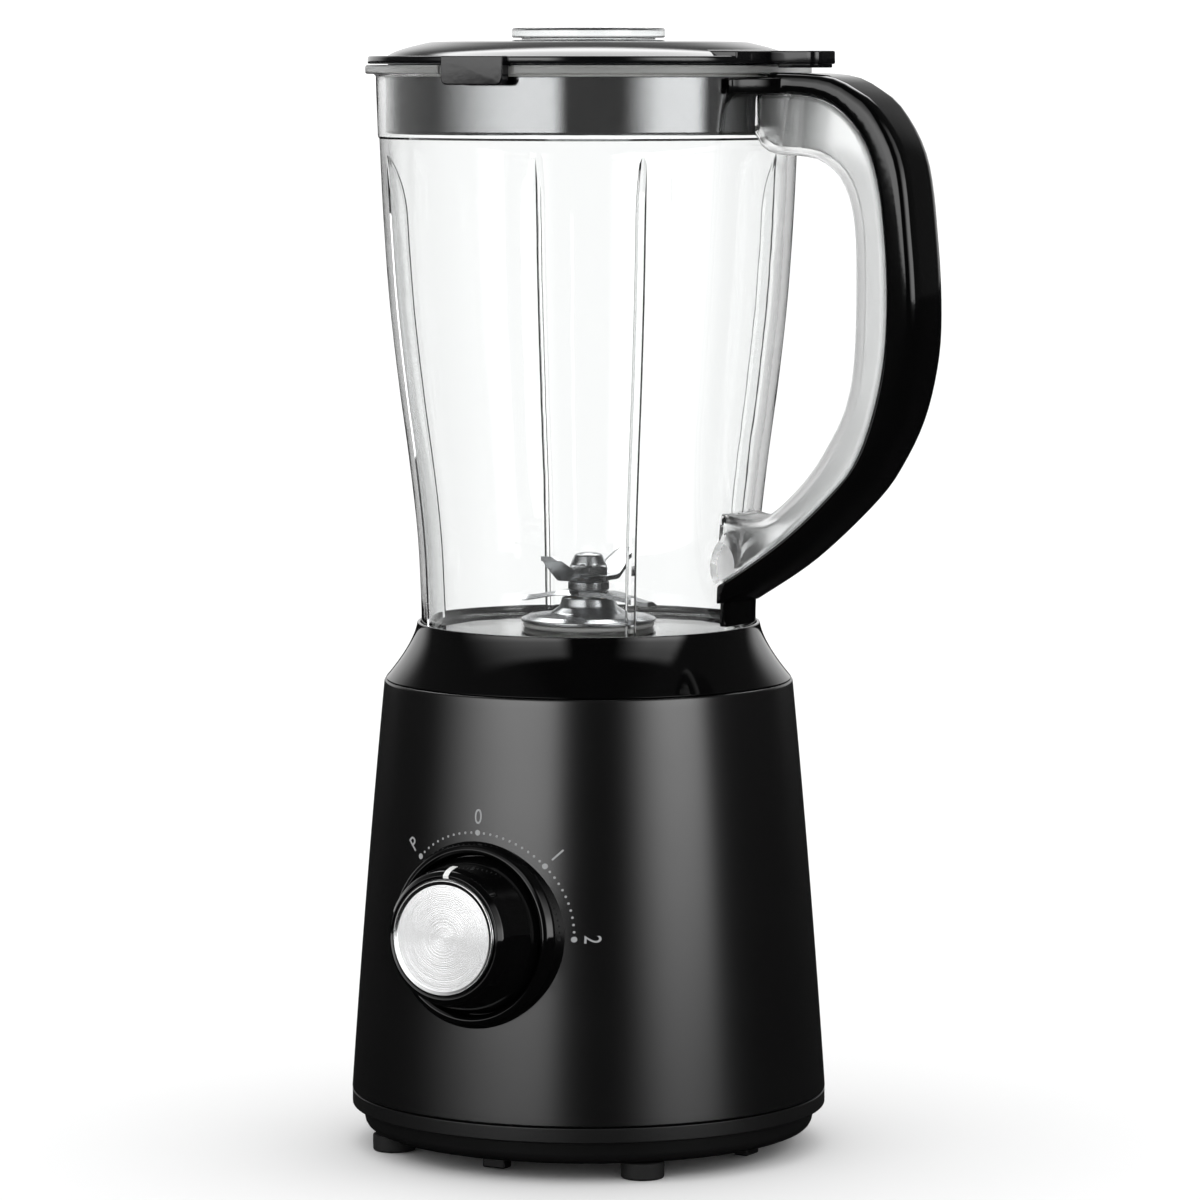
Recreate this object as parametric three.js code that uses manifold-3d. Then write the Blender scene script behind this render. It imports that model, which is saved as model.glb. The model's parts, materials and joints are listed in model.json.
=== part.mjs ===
// Countertop blender with a clear 1.5 litre jar, millimetres, +Z up.
// The front with the knob faces -Y, the jar's handle points to +X.
// The machine is drawn round its own axis, standing on z = 0; the last lines move the origin
// to the middle of the bottom of its bounding box.

import * as THREE from 'three';
import { mergeVertices } from 'three/addons/utils/BufferGeometryUtils.js';
import Module from 'manifold-3d';

const wasm = await Module();
wasm.setup();

// ---------------------------------------------------------------- driving dimensions

const gap = 0.3; // between pieces that touch
const slipGap = 0.4; // round pieces that lift out
const round = 24; // facets of a large turned piece
const small = 12; // facets of a small turned piece
const wallSteps = 7; // rings up the jar's curved wall
const handleSteps = 12; // stations along the handle's curves
const through = 1; // how far a cutting tool runs past what it cuts

const foot = { radius: 7.25, height: 6, inset: 12.5, stem: 3, stemLength: 6, chamfer: 1 };

const pan = {
  recess: 3.7, // in from the housing's lower edge
  sideHeight: 8,
  lipHeight: 5.1,
  spigot: 5,
  floor: 2.6,
  wall: 2.4,
  edgeRadius: 5.5,
  nubInset: 19.5,
  nubWidth: 8.5,
  nubDepth: 5,
  nubClearance: 1,
  vents: 10,
  ventWidth: 4.8,
  ventInner: 22,
  ventOuter: 44,
};

const housing = {
  height: 140.2,
  bottomRadius: 80.9,
  topRadius: 69.4,
  bulge: 0.5,
  wall: 2.6,
  deckWidth: 10.4,
  postRadius: 4.5,
  postHeight: 24,
};

const screw = {
  inset: 14.9,
  radius: 1.5,
  head: 3.4,
  headHeight: 2.4,
  length: 15,
  towerRadius: 5.5,
  startAngle: 22.5,
};

const collar = {
  height: 19.1,
  rim: 1, // width of the rim round the socket
  wall: 2.6,
  socketDepth: 12.4,
  wellInset: 14.8, // in from the jar's foot
  wellDepth: 17.6,
};

const jar = {
  height: 200.1,
  bottomRadius: 56.8,
  stepRadius: 70.5,
  waist: 16, // height of the straight foot
  floorHeight: 9,
  floor: 4,
  stepDrop: 21.5,
  stepOut: 1.2,
  rim: 3,
  rimWidth: 3.5,
  wall: 2.8,
  skirtWall: 3.3,
  holeRadius: 17.2,
  ribDepth: 4.5,
  ribWidth: 2.6,
  ribDrop: 5.6,
};

const handle = {
  width: 24,
  wall: 2.6,
  rounding: 4,
  reach: 46.1, // from the rim out to the seam
  footRise: 11,
  headDrop: 6.7,
  flare: 25,
  flareLength: 13,
  tailWidth: 20,
};

const lid = {
  inset: 0.8, // in from the jar's flange
  flange: 2.7,
  rise: 5,
  wall: 2.2,
  plugDepth: 22,
  plugWall: 2.6,
  bandHeight: 18.5,
  bandDrop: 0.7,
  band: 0.5,
  tabWidth: 23.4,
  tabDrop: 6.8,
  tabReach: 1.7, // past the jar's flange
  notchGap: 2.8,
  handleTabWidth: 16,
  handleTabReach: 15.8, // past the jar's flange
  padWidth: 50,
  padDepth: 19.6,
  padDrop: 3.3,
};

const cup = { neckRadius: 22.5, lip: 3.3, disc: 3.3, depth: 25, wall: 1.9, rim: 0.9 };

const knob = {
  height: 61.8, // above the housing's lower edge
  baseRadius: 26,
  faceRadius: 22.9,
  discRadius: 19.2,
  disc: 1.9,
  reach: 19.9,
  wall: 2.2,
  turnGap: 0.8,
  bezelWidth: 4.2,
  bezelHeight: 3.3,
  bezelDepth: 9,
  shaftRadius: 3,
};

const motor = {
  shaftRadius: 4,
  stackHeight: 34,
  statorRadius: 36,
  statorFlat: 31,
  bore: 18.8,
  airGap: 1.2,
  slots: 10,
  slotWidth: 2.6,
  windowRadius: 27.5,
  windowHalfAngle: 34,
  endTurns: 7,
  commutatorRadius: 10.5,
  brushWidth: 6,
  fanRadius: 32,
  fanHeight: 12,
  fanVanes: 9,
  bracket: 4,
  headroom: 13, // from the stack up to the upper bracket
  brushRoom: 22, // from the lower bracket up to the stack
  fanRoom: 6, // from the fan up to the lower bracket
  bearingWall: 6,
  postCircle: 28,
  postRadius: 2.6,
  mountCircle: 31,
  mountRadius: 5.5,
  mountHeight: 16.8,
};

const coupling = { radius: 13, dogs: 6, dogInner: 7.5, plate: 3.2, dogHeight: 5, floorGap: 1.4 };

const blade = {
  holderRadius: 23,
  boss: 9,
  seal: 1.6,
  span: 25,
  width: 11,
  thick: 1.6,
  boltRadius: 4,
  spacer: 3,
};

const inlet = { radius: 6, bore: 3.6, height: 14.6, lip: 1.6 };

const interlock = { inset: 1.8, radius: 2, spring: 9, turns: 4, wire: 0.8 };

// ---------------------------------------------------------------- heights and radii that follow

const panFloorTop = foot.height + pan.floor;
const lipBottom = foot.height + pan.sideHeight;
const lipTop = lipBottom + pan.lipHeight;
const panRadius = housing.bottomRadius - pan.recess;
const footCircle = housing.bottomRadius - foot.inset;
const screwCircle = housing.bottomRadius - screw.inset;

const housingBottom = lipTop + gap;
const housingTop = housingBottom + housing.height;
const deckInner = housing.topRadius - housing.deckWidth;
const dialHeight = housingBottom + knob.height;
const bezelRadius = knob.baseRadius + knob.turnGap + knob.bezelWidth;
const wallCut = 20; // reach of a tool that opens the housing's side
const inletHeight = housingBottom + inlet.height;

const socketRadius = jar.bottomRadius + slipGap;
const collarTop = housingTop + gap + collar.height;
const collarSeat = collarTop - collar.socketDepth;
const wellRadius = jar.bottomRadius - collar.wellInset;
const wellFloor = collarSeat - collar.wellDepth;
const wellUnder = wellFloor - collar.wall;
const platform = collarSeat - collar.wall;
const pinCircle = jar.bottomRadius - interlock.inset;
const driveFace = wellFloor + coupling.floorGap;

const skirtBottom = collarSeat + slipGap;
const jarFloor = skirtBottom + jar.floorHeight;
const waistTop = skirtBottom + jar.waist;
const rimTop = skirtBottom + jar.height;
const rimBottom = rimTop - jar.rim;
const rimRadius = jar.stepRadius + jar.stepOut;
const jarFlange = rimRadius + jar.rimWidth;
const stepHeight = rimBottom - jar.stepDrop;
const ribTop = stepHeight - jar.ribDrop;

const upperBracket = wellUnder - 2 * gap - motor.mountHeight - motor.bracket;
const stackTop = upperBracket - motor.headroom;
const stackBottom = stackTop - motor.stackHeight;
const lowerBracketTop = stackBottom - motor.brushRoom;
const lowerBracket = lowerBracketTop - motor.bracket;
const fanTop = lowerBracket - motor.fanRoom;
const fanBottom = fanTop - motor.fanHeight;

// ---------------------------------------------------------------- materials

const finish = (color, roughness, metalness = 0) =>
  new THREE.MeshStandardMaterial({ color, roughness, metalness });

const clearPlastic = finish(0xe9eef0, 0.06);
clearPlastic.transparent = true;
clearPlastic.opacity = 0.35;
const smokyPlastic = finish(0x4a4d4f, 0.08);
const glossBlack = finish(0x0b0b0c, 0.1);
const satinBlack = finish(0x101011, 0.3);
const mattBlack = finish(0x161617, 0.6);
const blackRubber = finish(0x121212, 0.85);
const clearRubber = finish(0xd8d8d4, 0.6);
const mirrorSteel = finish(0xb9bcbf, 0.08, 1);
const bladeSteel = finish(0xa9adb0, 0.25, 1);
const brushedAluminium = finish(0xd4d6d8, 0.3, 1);
const darkSteel = finish(0x6d6f72, 0.4, 1);
const zincSteel = finish(0x9a9ea2, 0.35, 1);
const copperWire = finish(0xa6582c, 0.4, 1);
const copperBar = finish(0xc27a45, 0.3, 1);
const bronze = finish(0x8f6a3a, 0.45, 1);
const graphite = finish(0x2b2b2d, 0.7);
const whitePlastic = finish(0xdedcd5, 0.5);
const redPlastic = finish(0x7c1512, 0.5);

// ---------------------------------------------------------------- solids

// One closed body with shared vertices, no empty triangles and its faces pointing out.
// What has no normals comes from fromManifold, which has all that already.
function closed(geometry) {
  if (!geometry.getAttribute('normal')) return geometry;
  const bare = geometry.clone();
  bare.deleteAttribute('normal');
  bare.deleteAttribute('uv');
  const merged = mergeVertices(bare, 1e-4);
  const point = merged.getAttribute('position');
  const corners = [0, 1, 2].map(() => new THREE.Vector3());
  const index = [];
  let volume = 0;
  for (let i = 0; i < merged.index.count; i += 3) {
    const [a, b, c] = [0, 1, 2].map((k) => merged.index.getX(i + k));
    if (a === b || b === c || c === a) continue;
    index.push(a, b, c);
    [a, b, c].forEach((v, k) => corners[k].fromBufferAttribute(point, v));
    volume += corners[0].dot(corners[1].clone().cross(corners[2])) / 6;
  }
  if (volume < 0) index.reverse();
  merged.setIndex(index);
  return merged;
}

function toManifold(geometry) {
  const body = closed(geometry);
  return new wasm.Manifold(new wasm.Mesh({
    numProp: 3,
    vertProperties: new Float32Array(body.getAttribute('position').array),
    triVerts: new Uint32Array(body.index.array),
  }));
}

function fromManifold(body) {
  const mesh = body.getMesh();
  const geometry = new THREE.BufferGeometry();
  geometry.setAttribute('position', new THREE.BufferAttribute(mesh.vertProperties, 3));
  geometry.setIndex(new THREE.BufferAttribute(mesh.triVerts, 1));
  return geometry;
}

const join = (...parts) => fromManifold(parts.map(toManifold).reduce((a, b) => a.add(b)));
const cut = (body, ...tools) =>
  fromManifold(tools.map(toManifold).reduce((a, b) => a.subtract(b), toManifold(body)));
const common = (a, b) => fromManifold(toManifold(a).intersect(toManifold(b)));

// Turned piece from [radius, height] points, round the Z axis.
function turned(profile, facets = round) {
  const points = profile.map(([r, z]) => new THREE.Vector2(Math.max(r, 0), z));
  if (profile[0][0] > 0) points.push(points[0].clone());
  return new THREE.LatheGeometry(points, facets).rotateX(Math.PI / 2);
}

const tube = (inner, outer, low, high, facets = small) =>
  turned([[inner, low], [outer, low], [outer, high], [inner, high]], facets);

const rod = (radius, low, high, facets = small) =>
  turned([[0, low], [radius, low], [radius, high], [0, high]], facets);

const block = (x0, x1, y0, y1, z0, z1) =>
  new THREE.BoxGeometry(x1 - x0, y1 - y0, z1 - z0)
    .translate((x0 + x1) / 2, (y0 + y1) / 2, (z0 + z1) / 2);

// Flat outline in the XY plane, raised from one height to another.
const plate = (shape, low, high, curveSegments = 12) =>
  new THREE.ExtrudeGeometry(shape, { depth: high - low, bevelEnabled: false, curveSegments })
    .translate(0, 0, low);

// Outline drawn in the XZ plane, given a width along Y, with rounded long edges if asked.
function upright(shape, width, rounding = 0, curveSegments = 4) {
  const geometry = new THREE.ExtrudeGeometry(shape, {
    depth: width - 2 * rounding,
    bevelEnabled: rounding > 0,
    bevelThickness: rounding,
    bevelSize: rounding / 2,
    bevelOffset: -rounding / 2,
    bevelSegments: 2,
    curveSegments,
  });
  return geometry.translate(0, 0, rounding - width / 2).rotateX(Math.PI / 2);
}

const { degToRad: radians, lerp, mapLinear } = THREE.MathUtils;
const polar = (radius, degrees) =>
  [radius * Math.cos(radians(degrees)), radius * Math.sin(radians(degrees))];
const turn = (geometry, degrees) => geometry.rotateZ(radians(degrees));

// Ring sector between two angles, seen from above.
function sector(inner, outer, from, to) {
  const shape = new THREE.Shape();
  shape.absarc(0, 0, outer, radians(from), radians(to), false);
  shape.absarc(0, 0, inner, radians(to), radians(from), true);
  return shape;
}

const bySide = (count, start, make) =>
  Array.from({ length: count }, (_, i) => make(start + (360 / count) * i, i + 1));

// ---------------------------------------------------------------- scene graph

const blender = new THREE.Group();

function group(parent = blender) {
  const made = new THREE.Group();
  parent.add(made);
  return made;
}

function add(parent, name, geometry, material) {
  const mesh = new THREE.Mesh(closed(geometry), material);
  mesh.name = name;
  parent.add(mesh);
  return mesh;
}

// ---------------------------------------------------------------- shared outlines

// Outer radius of the housing at a height: a straight cone with a slight bulge.
function housingRadius(z) {
  const t = (z - housingBottom) / (housingTop - housingBottom);
  const cone = lerp(housing.bottomRadius, housing.topRadius, t);
  return cone + 4 * housing.bulge * t * (1 - t);
}

// Slope of the housing where the knob sits, and the knob's frame: its local +Z points out.
const slope = (housingRadius(dialHeight - 1) - housingRadius(dialHeight + 1)) / 2;
const dialTilt = Math.atan(slope);

function dialFrame() {
  const frame = new THREE.Matrix4().makeRotationX(Math.PI / 2 - dialTilt);
  frame.setPosition(0, -housingRadius(dialHeight), dialHeight);
  return frame;
}

// Outside of the jar's wall from the waist to the step under the rim: an S curve.
const wallSpan = stepHeight - waistTop;
const wallGrowth = jar.stepRadius - jar.bottomRadius;
const jarWall = new THREE.SplineCurve([
  [0, 0], [0.155, 0.085], [0.315, 0.285], [0.49, 0.555], [0.66, 0.77], [0.84, 0.915], [1, 1],
].map(([t, s]) => new THREE.Vector2(jar.bottomRadius + wallGrowth * s, waistTop + wallSpan * t)));
const wallRings = jarWall.getPoints(wallSteps);

function jarRadius(z) {
  const points = jarWall.getPoints(60);
  const above = points.findIndex((p) => p.y >= z);
  if (above < 0) return mapLinear(z, stepHeight, rimBottom, jar.stepRadius, rimRadius);
  if (above === 0) return jar.bottomRadius;
  const [p, q] = [points[above - 1], points[above]];
  return mapLinear(z, p.y, q.y, p.x, q.x);
}

// Inside of the jar's wall. It steps outward with the outside below the rim, to clear the lid's band.
const boreAtRim = rimRadius - jar.wall - 0.1;
const boreStep = stepHeight + 0.4;

// Solid that fills the jar's outline, grown by a clearance, and solid that fills its hollow.
function jarEnvelope(clearance) {
  const heights = [skirtBottom - 5, ...wallRings.map((p) => p.y), rimBottom];
  const side = heights.map((z) => [jarRadius(z) + clearance, z]);
  return turned([[0, side[0][1]], ...side, [0, rimBottom]]);
}

function jarHollow() {
  const heights = [jarFloor, ...wallRings.map((p) => p.y)];
  const side = heights.map((z) => [jarRadius(z) - jar.wall, z]);
  return turned([[0, jarFloor], ...side, [boreAtRim, boreStep], [boreAtRim, rimTop], [0, rimTop]]);
}

// The handle is drawn in its own units: across 0 at the jar's foot to 1 at the seam's furthest
// point, up 0 at the lower root to 1 at the upper root.
const handleFoot = waistTop + handle.footRise;
const handleHead = rimBottom - handle.headDrop;

const handlePoint = ([across, up]) => new THREE.Vector2(
  lerp(jar.bottomRadius, rimRadius + handle.reach, across),
  lerp(handleFoot, handleHead, up),
);
const handleCurve = (points) => new THREE.SplineCurve(points.map(handlePoint));

const gripSeam = handleCurve([
  [-0.2, -0.04], [0.318, 0.084], [0.661, 0.194], [0.83, 0.272], [0.95, 0.4], [1, 0.53],
  [0.993, 0.69], [0.93, 0.85], [0.793, 0.944], [0.55, 0.995], [0.05, 1],
]);
const gripBack = handleCurve([
  [0.077, -0.032], [0.441, 0.056], [0.818, 0.184], [0.98, 0.267], [1.1, 0.36], [1.17, 0.47],
  [1.185, 0.571], [1.16, 0.711], [1.1, 0.87], [0.951, 0.968], [0.8, 1.012], [0.6, 1.04],
  [0.1, 1.046],
]);
const channelFront = handleCurve([
  [-0.2, 0.17], [0.1, 0.143], [0.25, 0.142], [0.38, 0.172], [0.544, 0.233], [0.667, 0.3],
  [0.766, 0.374], [0.815, 0.465], [0.828, 0.618], [0.813, 0.749], [0.741, 0.828], [0.61, 0.872],
  [0.446, 0.879], [0, 0.878],
]);

const outline = (points) => new THREE.Shape(points.map(([x, y]) => new THREE.Vector2(x, y)));
const corners = (curvePoints) => curvePoints.map((p) => [p.x, p.y]);

// Points of a handle curve moved sideways; a positive distance moves them away from the jar.
function beside(curve, distance) {
  return curve.getSpacedPoints(handleSteps).map((p, i) => {
    const along = curve.getTangentAt(i / handleSteps);
    return [p.x + along.y * distance, p.y - along.x * distance];
  });
}

// ---------------------------------------------------------------- base

function makeBase() {
  const base = group();

  // bottom pan: floor, rounded edge, recessed side, lip and a spigot inside the housing
  const flatness = 0.65; // of the rounded edge
  const corner = [0, 30, 60, 90].map(radians).map((a) => [
    panRadius - pan.edgeRadius * (1 - Math.sin(a)),
    foot.height + pan.edgeRadius * flatness * (1 - Math.cos(a)),
  ]);
  const lipRadius = housing.bottomRadius - 0.1;
  const spigot = housing.bottomRadius - housing.wall - 2 * slipGap;
  const spigotTop = lipTop + pan.spigot;
  const panShell = turned([
    [0, foot.height],
    ...corner,
    [panRadius, lipBottom - 0.6],
    [lipRadius - 0.6, lipBottom],
    [lipRadius, lipBottom + 0.6],
    [lipRadius, lipTop],
    [spigot, lipTop],
    [spigot, spigotTop],
    [spigot - pan.wall, spigotTop],
    [spigot - pan.wall, panFloorTop + 2],
    [spigot - pan.wall - 2, panFloorTop],
    [0, panFloorTop],
  ]);
  const towerTop = housingBottom - 2 * gap;
  const counterboreTop = towerTop - 5;
  const towers = bySide(4, screw.startAngle, (angle) => {
    const [x, y] = polar(screwCircle, angle);
    return rod(screw.towerRadius, foot.height + 1, towerTop).translate(x, y, 0);
  });
  const nubs = bySide(4, 0, (angle) => {
    const half = pan.nubWidth / 2;
    const outer = housing.bottomRadius - pan.nubInset + pan.nubDepth / 2;
    return turn(block(-half, half, outer - pan.nubDepth, outer, pan.nubClearance, foot.height + 1), angle);
  });
  const footHoles = bySide(4, 45, (angle) => {
    const [x, y] = polar(footCircle, angle);
    return rod(foot.stem + slipGap, 0, panFloorTop + through).translate(x, y, 0);
  });
  const screwHoles = bySide(4, screw.startAngle, (angle) => {
    const [x, y] = polar(screwCircle, angle);
    const counterbore = rod(screw.head + slipGap, 0, counterboreTop);
    return join(counterbore, rod(screw.radius + slipGap, 0, towerTop + through)).translate(x, y, 0);
  });
  const ventHalf = pan.ventWidth / 2;
  const vents = bySide(pan.vents, 90 / pan.vents, (angle) =>
    turn(block(pan.ventInner, pan.ventOuter, -ventHalf, ventHalf, 0, panFloorTop + through), angle));
  const panBody = cut(join(panShell, ...towers, ...nubs), ...footHoles, ...screwHoles, ...vents);
  add(base, 'bottom_pan', panBody, mattBlack);

  bySide(4, 45, (angle, i) => {
    const [x, y] = polar(footCircle, angle);
    const padTop = foot.height - gap;
    const stemTop = foot.height + foot.stemLength;
    const pad = turned([
      [0, 0], [foot.radius - foot.chamfer, 0], [foot.radius, foot.chamfer], [foot.radius, padTop],
      [foot.stem, padTop], [foot.stem, stemTop], [0, stemTop],
    ], 16);
    add(base, `foot_${i}`, pad, blackRubber).position.set(x, y, 0);
  });

  bySide(4, screw.startAngle, (angle, i) => {
    const [x, y] = polar(screwCircle, angle);
    const seat = counterboreTop - gap;
    const tip = housingBottom + screw.length;
    const shape = turned([
      [0, seat - screw.headHeight], [screw.head, seat - screw.headHeight], [screw.head, seat],
      [screw.radius, seat], [screw.radius, tip - 1], [0, tip],
    ]);
    add(base, `pan_screw_${i}`, shape, zincSteel).position.set(x, y, 0);
  });

  // housing: cone with a deck that carries the collar, and four screw posts on ribs
  const heights = [0, 0.25, 0.5, 0.75, 1].map((t) => lerp(housingBottom, housingTop - 0.8, t));
  const deck = housingTop - housing.wall;
  const housingShell = turned([
    ...heights.map((z) => [housingRadius(z), z]),
    [housing.topRadius - 0.6, housingTop],
    [deckInner, housingTop],
    [deckInner, deck],
    [housingRadius(deck) - housing.wall, deck],
    [housingRadius(heights[2]) - housing.wall, heights[2]],
    [housing.bottomRadius - housing.wall, housingBottom],
  ]);
  const postTop = housingBottom + housing.postHeight;
  const ribBottom = spigotTop + 1;
  const posts = bySide(4, screw.startAngle, (angle) => {
    const outer = housingRadius(postTop / 2) - housing.wall / 2;
    const rib = turn(block(screwCircle, outer, -1.3, 1.3, ribBottom, postTop), angle);
    const [x, y] = polar(screwCircle, angle);
    return join(rod(housing.postRadius, housingBottom, postTop).translate(x, y, 0), rib);
  });
  const postHoles = bySide(4, screw.startAngle, (angle) => {
    const [x, y] = polar(screwCircle, angle);
    return rod(screw.radius + 0.2, 0, housingBottom + screw.length + 3).translate(x, y, 0);
  });
  const dialHole = rod(bezelRadius + gap, -wallCut, wallCut, round).applyMatrix4(dialFrame());
  const inletHole = rod(inlet.radius + gap, -wallCut, wallCut).rotateX(Math.PI / 2)
    .translate(0, housingRadius(inletHeight), inletHeight);
  const shell = cut(join(housingShell, ...posts), ...postHoles, dialHole, inletHole);
  add(base, 'housing', shell, satinBlack);

  // cable inlet bush at the back
  const barb = -housing.wall - 2;
  const lipFront = 2.4;
  const bush = turned([
    [inlet.bore, barb - 2], [inlet.radius + 2, barb - 1], [inlet.radius + 2, barb],
    [inlet.radius, barb], [inlet.radius, 0.5], [inlet.radius + inlet.lip, 0.5],
    [inlet.radius + inlet.lip - 0.6, lipFront], [inlet.bore, lipFront],
  ]).rotateX(-Math.PI / 2);
  const inletBush = add(base, 'cable_inlet', bush, blackRubber);
  inletBush.position.set(0, housingRadius(inletHeight) + 0.2, inletHeight);

  // collar: hollow-sided shoulder with a socket for the jar and a well for the couplings
  const under = housingTop + gap;
  const collarRadius = housing.topRadius - 0.4;
  const topRadius = socketRadius + collar.rim;
  const flank = new THREE.SplineCurve([
    [1, 0.06], [0.62, 0.22], [0.34, 0.42], [0.17, 0.66], [0.06, 0.88], [0, 0.975],
  ].map(([s, t]) => new THREE.Vector2(lerp(topRadius, collarRadius, s), lerp(under, collarTop, t))));
  const collarShell = turned([
    [collarRadius, under],
    ...corners(flank.getPoints(7)),
    [topRadius - 0.3, collarTop],
    [socketRadius, collarTop],
    [socketRadius, collarSeat],
    [wellRadius, collarSeat],
    [wellRadius, wellFloor],
    [motor.shaftRadius + 3, wellFloor],
    [motor.shaftRadius + 3, wellUnder],
    [wellRadius + collar.wall, wellUnder],
    [wellRadius + collar.wall, platform],
    [deckInner + 1, platform],
    [deckInner + 1, under],
  ]);
  const pinHole = rod(interlock.radius + slipGap, platform - through, collarSeat + through);
  add(base, 'collar', cut(collarShell, pinHole.translate(pinCircle, 0, 0)), glossBlack);

  return base;
}

// ---------------------------------------------------------------- knob and switch

const switchBody = { size: 27, depth: 12, front: -4.6 };
const bezelFloor = -1.5;

function makeControl(base) {
  const fixed = group(base);
  fixed.applyMatrix4(dialFrame());
  const bezelInner = knob.baseRadius + knob.turnGap;
  add(fixed, 'knob_bezel', turned([
    [knob.shaftRadius + slipGap, bezelFloor],
    [bezelInner - 0.2, bezelFloor],
    [bezelInner + 0.4, knob.bezelHeight - 0.9],
    [bezelInner + 1.4, knob.bezelHeight],
    [bezelInner + 2.6, knob.bezelHeight - 0.3],
    [bezelRadius - 0.4, knob.bezelHeight - 1.9],
    [bezelRadius, knob.bezelHeight - 4.3],
    [bezelRadius, -knob.bezelDepth],
    [bezelRadius - 2.4, -knob.bezelDepth],
    [bezelRadius - 2.4, bezelFloor - 2.4],
    [knob.shaftRadius + slipGap, bezelFloor - 2.4],
  ]), glossBlack);

  const half = switchBody.size / 2;
  const back = switchBody.front - switchBody.depth;
  const shell = cut(
    block(-half, half, -half, half, back, switchBody.front),
    rod(knob.shaftRadius + slipGap, back + 3, switchBody.front + through),
  );
  const terminals = [-8, 0, 8].map((x) => block(x - 1.6, x + 1.6, -0.4, 0.4, back - 7, back + 1));
  add(fixed, 'rotary_switch', join(shell, ...terminals), redPlastic);

  const turning = group();
  turning.applyMatrix4(dialFrame());
  const face = knob.reach - knob.disc;
  const hub = knob.shaftRadius + 3.2;
  const bottom = bezelFloor + 2.3;
  add(turning, 'knob', turned([
    [0, face - gap],
    [knob.discRadius + gap, face - gap],
    [knob.discRadius + gap, knob.reach - 0.9],
    [knob.discRadius + 1.2, knob.reach - 0.6],
    [knob.faceRadius - 1, knob.reach - 2.4],
    [knob.faceRadius, knob.reach - 5],
    [knob.faceRadius + 0.6, knob.reach - 7.5],
    [knob.baseRadius, bottom],
    [knob.baseRadius - knob.wall, bottom],
    [knob.faceRadius - knob.wall, face - 3.2],
    [hub, face - 3.2],
    [hub, bottom + 1],
    [knob.shaftRadius + gap, bottom + 1],
    [knob.shaftRadius + gap, face - 4],
    [0, face - 4],
  ]), glossBlack);
  add(turning, 'knob_disc', turned([
    [0, face], [knob.discRadius, face], [knob.discRadius, knob.reach - 0.4],
    [knob.discRadius - 0.5, knob.reach], [knob.discRadius - 1.4, knob.reach - 0.5],
    [0, knob.reach - 0.5],
  ]), brushedAluminium);
  add(turning, 'switch_shaft', rod(knob.shaftRadius, back + 3.3, face - 4.4), whitePlastic);
}

// ---------------------------------------------------------------- motor

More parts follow.
